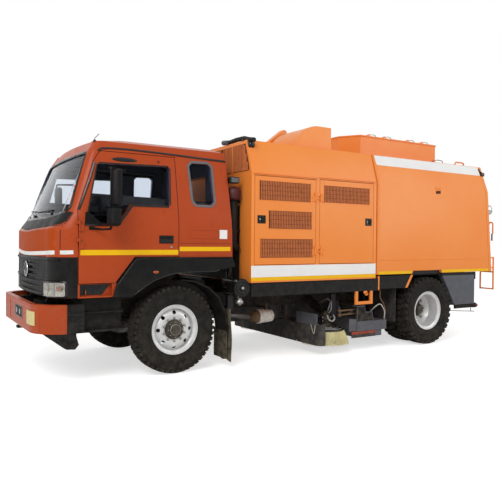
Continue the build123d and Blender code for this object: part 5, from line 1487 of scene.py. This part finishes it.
# ---------------------------------------------------------------- exhaust, canister, tank and splash sheets
def make_exhaust():
    """Exhaust pipe, its lagged silencer, drain and hangers."""
    axis = at(0, 640, 548)
    wrap = [(AXIS, -1408)]
    for ring in range(6):
        start = -1410 - ring * 42
        size = 100 - 3.5 * ring
        wrap += [(size - 26, start), (size, start - 12), (size, start - 26), (size - 28, start - 41)]
    wrap.append((52, -1668))
    cone = [(34, -1300), (46, -1300), (92, -1408), (92, -1420), (80, -1420)]
    tail = [(30, -1660), (44, -1660), (44, -1688), (30, -1688)]
    parts = [
        pipe("grey_steel", [(-600, 640, 604), (-960, 640, 598), (-1310, 640, 548)], 0.036, 20, 0.3),
        spun("rusty_steel", axis, cone, "x", 40, ring=True),
        spun("heat_tape", axis, wrap, "x", 40),
        spun("grey_steel", axis, tail, "x", 28, ring=True),
        pipe("rusty_steel", [(-1575, 640, 620), (-1560, 640, 690), (-1590, 640, 730)], 0.012, 10),
    ]
    for x in (-980, -1560):
        parts.append(block("chassis_black", (x - 20, 420, 655), (x + 20, 650, 675), 0.003))
        parts.append(block("chassis_black", (x - 20, 632, 600), (x + 20, 648, 675), 0.003))
    piece("exhaust_wrapped", parts, "chassis", "exhaust_steel", "exhaust_pipe")


def make_air_cleaner():
    """Air cleaner with its ringed lid, knob, clips, drain cup and bars."""
    dressed("air_cleaner", "gloss_black", 0.010, segments=3)
    x, y, z = -840, 1185, 1000
    lid = [(12, 14), (14, 6), (40, 4), (44, -1), (70, -1), (74, 5), (82, 5), (86, -1), (104, -1), (108, 6),
           (116, 4), (120, -14)]
    cup = [(AXIS, 780), (18, 782), (24, 800), (48, 806), (50, 838), (30, 850), (30, 888)]
    parts = [spun("moulded_black", at(x, y, z), lid, "y", 48, sharp=True),
             spun("zinc_plate", at(x, y, z), [(16, 30), (20, 22), (20, 10)], "y", 20)]
    for turn in (0.9, 3.0, 5.1):
        place = at(x + 118 * math.cos(turn), y - 26, z + 118 * math.sin(turn))
        parts.append(dome("zinc_plate", place, (0.012, 0.026, 0.012), 6, 12))
    parts.append(spun("zinc_plate", at(-826, 1150, 0), cup, "z", 28))
    bars = ([(-684, 1004), (-684, 1132)], [(-804, 1112), (-804, 1132)], [(-684, 1132), (-804, 1132)],
            [(-684, 1004), (-740, 1004)], [(-684, 1132), (-740, 1262), (-804, 1132)])
    for bar in bars:
        parts.append(pipe("chassis_black", [(a, 1000, b) for a, b in bar], 0.008, 8))
    piece("air_cleaner_lid", parts, "chassis", "black_plastic")


def mud_flap(side, rows=16, columns=8):
    """Hanging rubber flap behind a front wheel, in shallow waves and frayed at its foot."""
    low, high = 92, 738
    inner, outer = 772, 1150
    front_x, back_x = -694, -706
    front, back = [], []
    for i in range(rows + 1):
        z = low + (high - low) * i / rows
        for k in range(columns + 1):
            y = side * (inner + (outer - inner) * k / columns)
            fray = 10 * math.sin(k * 1.3 + 0.6) if i == 0 else 0
            sway = 0.8 * (10 * math.sin(z / 95 + k * 0.5) + 16 * (1 - i / rows))
            front.append(at(front_x - sway, y, z + fray))
            back.append(at(back_x - sway, y, z + fray))
    flap = outward(mesh_piece("flap", front + back, sheet_faces(rows, columns), smooth=True))
    return painted(sharpened(flap, 50), "muddy_rubber")


# Rubber sheets on each side: spans ahead, outwards and up, in mm.
SPLASH_SHEETS = ((-2880, -960, 322, 334, 452, 760), (-700, 480, 436, 446, 860, 1068),
                 (-2102, -2096, 608, 690, 170, 440), (-3608, -3600, 560, 1120, 380, 1000))


def make_splash_sheets():
    """Rubber sheets that close the underside, the muddy flaps and the arch edges."""
    dressed("rubber_apron", "rubber_sheet", 0.003)
    guards = painted(rounded(merged_copy("front_mudguards", "guards"), 0.004), "moulded_black")
    repainted(guards, "muddy_rubber", (-720, -1200, 50), (-660, 1200, 480))
    fitted(guards, "chassis", ["front_mudguards"])
    parts = []
    for side in SIDES:
        parts.append(mud_flap(side))
        parts += [block("rubber_sheet", (x0, side * y0, z0), (x1, side * y1, z1))
                  for x0, x1, y0, y1, z0, z1 in SPLASH_SHEETS]
    piece("splash_sheets", parts, "chassis", "black_rubber")
    lips = [block("rubber_sheet", (-4552, side * 1120, 1104), (-3912, side * 1150, 1176)) for side in SIDES]
    piece("arch_lips", lips, "hopper", "black_rubber")


def make_rear_low_parts():
    """Lockers, skirts, underrun bar and steps, with trim by the lockers and straps round the tank."""
    dressed("side_lockers", "grey_enamel", 0.006)
    dressed("body_skirts", "skirt_black", 0.004)
    dressed("rear_underrun", "moulded_black", 0.006)
    dressed("cab_steps", "moulded_black", 0.004)
    parts = [
        block("moulded_black", (-5404, 1158, 1060), (-4560, 1196, 1108), 0.014),
        block("moulded_black", (-5412, 1158, 985), (-5380, 1196, 1108), 0.012),
        block("moulded_black", (-5486, 1118, 508), (-4950, 1148, 584), 0.006),
        dome("red_lens", at(-5492, 1133, 540), (0.030, 0.045, 0.032)),
        pipe("chassis_black", [(-4790, 1128, 520), (-4800, 1128, 484), (-5474, 1128, 436)], 0.007, 8),
        pipe("chassis_black", [(-5380, 1128, 442), (-5380, 1128, 512)], 0.006, 8),
    ]
    both_sides("locker_trim_{}", parts, ("chassis", "chassis"))
    strap = ((-1005, 590), (-1005, 790), (-930, 866), (-630, 866), (-554, 790), (-554, 590), (-630, 514),
             (-930, 514))
    parts = [pipe("zinc_plate", [(x, y, z) for y, z in strap], 0.012, 8, closed=True)
             for x in (-1620, -1180)]
    parts.append(spun("gloss_black", at(-1400, -840, 858), [(48, 30), (55, 18), (55, -10)], "z", 28))
    piece("tank_straps", parts, "chassis", "exhaust_steel")


# ---------------------------------------------------------------- frame nodes' own shapes
# Nodes that show as they are, by their finish.
PLAIN = {
    "chassis_black": ("chassis_frame", "frame_members", "outrigger_beams", "front_axle", "rear_axle",
                      "track_rod", "ram_barrel"),
    "cast_iron": ("power_train", "auxiliary_engine", "knuckle_left", "knuckle_right"),
    "rolled_aluminium": ("fuel_tank",),
    "window_glass": ("cab_glass", "door_glass_left", "door_glass_right"),
    "chrome_plate": ("ram_rod",),
}
# Middle of the cab, and the heights between which its faces that look towards it are navy, in mm.
CAB_MIDDLE = (300, 0, 1950)
LINED_HEIGHTS = (1100, 2740)


def recoloured(finish, colour):
    """Paint's main colour set from linear values, its second shade moved along with it."""
    main, second = (linear(code) for code in FINISHES[finish][:2])
    mix = [n for n in surface(finish).node_tree.nodes if n.bl_idname == "ShaderNodeMix"][0]
    mix.inputs[6].default_value = tuple(colour)
    mix.inputs[7].default_value = tuple(min(1.0, max(0.0, b + c - a))
                                        for a, b, c in zip(main, second, colour))


def merged_copy(node, name):
    """Copy of a frame node with its loose triangles merged into whole faces."""
    mesh = frame["nodes"][node].data.copy()
    mesh.name = name
    mesh.materials.clear()
    build = bmesh.new()
    build.from_mesh(mesh)
    bmesh.ops.remove_doubles(build, verts=build.verts, dist=1e-5)
    bmesh.ops.dissolve_limit(build, angle_limit=math.radians(0.5), verts=build.verts, edges=build.edges)
    build.to_mesh(mesh)
    build.free()
    if "custom_normal" in mesh.attributes:
        mesh.attributes.remove(mesh.attributes["custom_normal"])
    return linked(name, mesh)


def dressed(node, finish, radius, segments=2):
    """A node's own shape with its edges rounded and its finish on, standing for the node."""
    obj = painted(rounded(merged_copy(node, node + "_skin"), radius, segments), finish)
    return fitted(obj, BODY_OF[node], [node])


def refinished(obj, finish, chosen):
    """Faces that a test chooses get another finish."""
    obj.data.materials.append(surface(finish))
    for face in obj.data.polygons:
        if chosen(face):
            face.material_index = len(obj.data.materials) - 1
    return obj


def repainted(obj, finish, low, high):
    """Faces between two corners in millimetres get another finish."""
    start, end = at(*low), at(*high)
    return refinished(obj, finish, lambda face: all(a <= c <= b for a, c, b in zip(start, face.center, end)))


def lined(obj):
    """Faces that look towards the cab's middle get the navy of its inner walls, which on the reveals of the
    door and window openings is painted shade in the gaps.
    """
    low, high = (height * MM for height in LINED_HEIGHTS)
    middle = at(*CAB_MIDDLE)
    return refinished(obj, "navy_trim_and_gap_shade", lambda face: face.normal.dot(middle - face.center) > 0
                      and low < face.center.z < high)


# ---------------------------------------------------------------- stage
# Camera: place in metres, yaw, pitch and roll in degrees, and lens in mm.
CAMERA_AT = (4.98524, 7.24113, 1.5845)
CAMERA_TURN = (32.03, -0.86, 0.45)
CAMERA_LENS = 40.87
# Lamps: place, the spot they shine at, diameter, all in metres, and power in watts.
LAMPS = {
    "key": ((9, 8, 9), (0, 0, 1.2), 6, 700),
    "fill": ((-8, 9, 5), (-1, 0, 1.2), 6, 260),
    "front": ((11, -3, 4), (2, 0, 1.3), 4, 110),
}
# Sky's strength as a lamp and as seen, and the floor's half width in metres, its colour and its glow.
SKY_LIGHT = 0.5
SKY_SEEN = 1.0
FLOOR_HALF = 60
FLOOR_WHITE = "#F4F4F4"
FLOOR_GLOW = 0.6


def make_camera():
    """Camera that was solved from the photo."""
    yaw, pitch, roll = (math.radians(a) for a in CAMERA_TURN)
    ahead = Vector((-math.sin(yaw) * math.cos(pitch), -math.cos(yaw) * math.cos(pitch), math.sin(pitch)))
    right = ahead.cross(Vector((0, 0, 1))).normalized()
    up = right.cross(ahead)
    rolled = right * math.cos(roll) + up * math.sin(roll)
    top = -right * math.sin(roll) + up * math.cos(roll)
    data = bpy.data.cameras.new("camera")
    data.lens = CAMERA_LENS
    data.sensor_width = 36
    data.clip_end = 200
    camera = linked("camera", data)
    turn = Matrix((rolled, top, -ahead)).transposed().to_4x4()
    camera.matrix_world = Matrix.Translation(CAMERA_AT) @ turn
    bpy.context.scene.camera = camera


def area_light(name, place, aim, size, power):
    """Round lamp at a place, turned to shine at another, all in metres."""
    data = bpy.data.lights.new(name, "AREA")
    data.shape = "DISK"
    data.size = size
    data.energy = power
    lamp = linked(name, data)
    lamp.location = place
    lamp.rotation_euler = (Vector(aim) - Vector(place)).to_track_quat("-Z", "Y").to_euler()


def make_stage():
    """White studio: plain sky, a floor that glows to the camera, three lamps and the camera."""
    scene = bpy.context.scene
    scene.view_settings.view_transform = "Standard"
    world = bpy.data.worlds.new("studio")
    scene.world = world
    world.use_nodes = True
    tree = world.node_tree
    tree.nodes.clear()
    path = add(tree, "ShaderNodeLightPath").outputs
    seen = path["Is Camera Ray"]
    for ray in ("Is Glossy Ray", "Is Transmission Ray"):
        seen = add(tree, "ShaderNodeMath", {0: seen, 1: path[ray]}, operation="MAXIMUM").outputs[0]
    strength = add(tree, "ShaderNodeMapRange", {0: seen}, values={3: SKY_LIGHT, 4: SKY_SEEN})
    sky = add(tree, "ShaderNodeBackground", {1: strength.outputs[0]}, values={0: (1, 1, 1, 1)})
    add(tree, "ShaderNodeOutputWorld", {0: sky.outputs[0]})
    corners = [(x * FLOOR_HALF, y * FLOOR_HALF, 0) for x, y in ((-1, -1), (1, -1), (1, 1), (-1, 1))]
    floor = mesh_piece("floor", corners, [(0, 1, 2, 3)])
    ground = bpy.data.materials.new("studio_floor")
    ground.use_nodes = True
    tree = ground.node_tree
    tree.nodes.clear()
    path = add(tree, "ShaderNodeLightPath").outputs
    matt = add(tree, "ShaderNodeBsdfDiffuse", values={0: linear(FLOOR_WHITE)})
    glow = add(tree, "ShaderNodeEmission", values={0: (1, 1, 1, 1), 1: FLOOR_GLOW})
    both = add(tree, "ShaderNodeAddShader", {0: matt.outputs[0], 1: glow.outputs[0]})
    bare = add(tree, "ShaderNodeMixShader",
               {0: path["Is Camera Ray"], 1: matt.outputs[0], 2: both.outputs[0]})
    add(tree, "ShaderNodeOutputMaterial", {0: bare.outputs[0]})
    floor.data.materials.append(ground)
    for name, lamp in LAMPS.items():
        area_light(name, *lamp)
    make_camera()


# ---------------------------------------------------------------- add-on
class SweeperSizes(bpy.types.PropertyGroup):
    """Sizes of the finished pieces."""
    panel_edge: bpy.props.FloatProperty(name="Cab Edge", description="Radius on the cab's panel edges",
                                        default=0.006, min=0.001, max=0.012, unit="LENGTH",
                                        subtype="DISTANCE")
    sheet_edge: bpy.props.FloatProperty(name="Body Edge", description="Radius on the folded body sheet",
                                        default=0.008, min=0.001, max=0.015, unit="LENGTH",
                                        subtype="DISTANCE")
    slat_pitch: bpy.props.FloatProperty(name="Slat Pitch", description="Distance between grille slats",
                                        default=0.026, min=0.015, max=0.06, unit="LENGTH",
                                        subtype="DISTANCE")
    grille_rows: bpy.props.IntProperty(name="Grille Rows", description="Rows of slats in each grille",
                                       default=4, min=1, max=8)
    front_blocks: bpy.props.IntProperty(name="Front Tread Blocks",
                                        description="Tread blocks round a front tyre",
                                        default=46, min=20, max=60)
    rear_blocks: bpy.props.IntProperty(name="Rear Tread Blocks",
                                       description="Tread blocks round a rear tyre",
                                       default=34, min=20, max=50)
    bristles: bpy.props.IntProperty(name="Bristles", description="Bristles in each ring of a brush",
                                    default=96, min=20, max=400)


class SweeperColours(bpy.types.PropertyGroup):
    """Paint colours, in linear light."""
    cab: bpy.props.FloatVectorProperty(name="Cab", description="Paint of the cab", size=4, subtype="COLOR",
                                       default=linear(FINISHES["cab_enamel"][0]), min=0, max=1)
    body: bpy.props.FloatVectorProperty(name="Body", description="Paint of the hopper and canopy", size=4,
                                        subtype="COLOR", default=linear(FINISHES["body_enamel"][0]),
                                        min=0, max=1)
    lockers: bpy.props.FloatVectorProperty(name="Lockers", description="Paint of the lockers and nozzle",
                                           size=4, subtype="COLOR", min=0, max=1,
                                           default=linear(FINISHES["grey_enamel"][0]))


class SWEEPER_OT_paint(bpy.types.Operator):
    """Takes the chosen paint colours and finishes the frame's plain parts"""
    bl_idname = "sweeper.paint"
    bl_label = "Paint and Plain Parts"

    def execute(self, context):
        colours = context.scene.sweeper_colours
        for finish, colour in (("cab_enamel", colours.cab), ("body_enamel", colours.body),
                               ("grey_enamel", colours.lockers)):
            recoloured(finish, colour)
        for finish, nodes in PLAIN.items():
            for node in nodes:
                painted(frame["nodes"][node], finish)
        return {"FINISHED"}


class SWEEPER_OT_cab(bpy.types.Operator):
    """Cab with its doors, grille, headlamps, mirrors, wings and inside"""
    bl_idname = "sweeper.cab"
    bl_label = "Cab"

    def execute(self, context):
        make_cab(context.scene.sweeper_sizes)
        make_headlamps()
        make_mirrors()
        make_interior()
        make_wings()
        return {"FINISHED"}


class SWEEPER_OT_bumper(bpy.types.Operator):
    """Bumper with its lamps and a blank plate"""
    bl_idname = "sweeper.bumper"
    bl_label = "Bumper"

    def execute(self, context):
        make_bumper()
        return {"FINISHED"}


class SWEEPER_OT_canopy(bpy.types.Operator):
    """Engine canopy with its doors, grilles, stripes and roof fittings"""
    bl_idname = "sweeper.canopy"
    bl_label = "Engine Canopy"

    def execute(self, context):
        make_canopy_doors(context.scene.sweeper_sizes)
        make_canopy(context.scene.sweeper_sizes)
        return {"FINISHED"}


class SWEEPER_OT_hopper(bpy.types.Operator):
    """Hopper with its bands, roof box and tailgate"""
    bl_idname = "sweeper.hopper"
    bl_label = "Hopper and Tailgate"

    def execute(self, context):
        make_hopper(context.scene.sweeper_sizes)
        make_tailgate()
        return {"FINISHED"}


class SWEEPER_OT_wheels(bpy.types.Operator):
    """Tyres with their tread, and pressed rims with hubs and nuts"""
    bl_idname = "sweeper.wheels"
    bl_label = "Wheels"

    def execute(self, context):
        make_tyres(context.scene.sweeper_sizes)
        make_rims()
        return {"FINISHED"}


class SWEEPER_OT_brushes(bpy.types.Operator):
    """Bristled brushes on their arms, with motors, pipes and rubber sheets"""
    bl_idname = "sweeper.brushes"
    bl_label = "Brushes"

    def execute(self, context):
        make_brushes(context.scene.sweeper_sizes)
        make_brush_arms()
        return {"FINISHED"}


class SWEEPER_OT_underbody(bpy.types.Operator):
    """Suction nozzle, exhaust, air cleaner, splash sheets and lockers"""
    bl_idname = "sweeper.underbody"
    bl_label = "Underbody"

    def execute(self, context):
        make_nozzle()
        make_exhaust()
        make_air_cleaner()
        make_splash_sheets()
        make_rear_low_parts()
        return {"FINISHED"}


class SWEEPER_OT_stage(bpy.types.Operator):
    """White studio with its lamps and camera"""
    bl_idname = "sweeper.stage"
    bl_label = "Studio"

    def execute(self, context):
        make_stage()
        return {"FINISHED"}


BUILDERS = (SWEEPER_OT_paint, SWEEPER_OT_cab, SWEEPER_OT_bumper, SWEEPER_OT_canopy, SWEEPER_OT_hopper,
            SWEEPER_OT_wheels, SWEEPER_OT_brushes, SWEEPER_OT_underbody, SWEEPER_OT_stage)


class SWEEPER_PT_sidebar(bpy.types.Panel):
    """Sizes, colours and builders of the sweeper."""
    bl_label = "Street Sweeper Truck"
    bl_idname = "SWEEPER_PT_sidebar"
    bl_space_type = "VIEW_3D"
    bl_region_type = "UI"
    bl_category = "Sweeper"

    def draw(self, context):
        for group in (context.scene.sweeper_sizes, context.scene.sweeper_colours):
            box = self.layout.box()
            for name in group.bl_rna.properties.keys():
                if name not in ("rna_type", "name"):
                    box.prop(group, name)
        for builder in BUILDERS:
            self.layout.operator(builder.bl_idname)


CLASSES = (SweeperSizes, SweeperColours, *BUILDERS, SWEEPER_PT_sidebar)


def register():
    for item in CLASSES:
        bpy.utils.register_class(item)
    bpy.types.Scene.sweeper_sizes = bpy.props.PointerProperty(type=SweeperSizes)
    bpy.types.Scene.sweeper_colours = bpy.props.PointerProperty(type=SweeperColours)


def unregister():
    del bpy.types.Scene.sweeper_colours
    del bpy.types.Scene.sweeper_sizes
    for item in reversed(CLASSES):
        bpy.utils.unregister_class(item)


def main():
    register()
    for builder in BUILDERS:
        group, name = builder.bl_idname.split(".")
        getattr(getattr(bpy.ops, group), name)()
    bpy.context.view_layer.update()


if __name__ == "__main__":
    main()
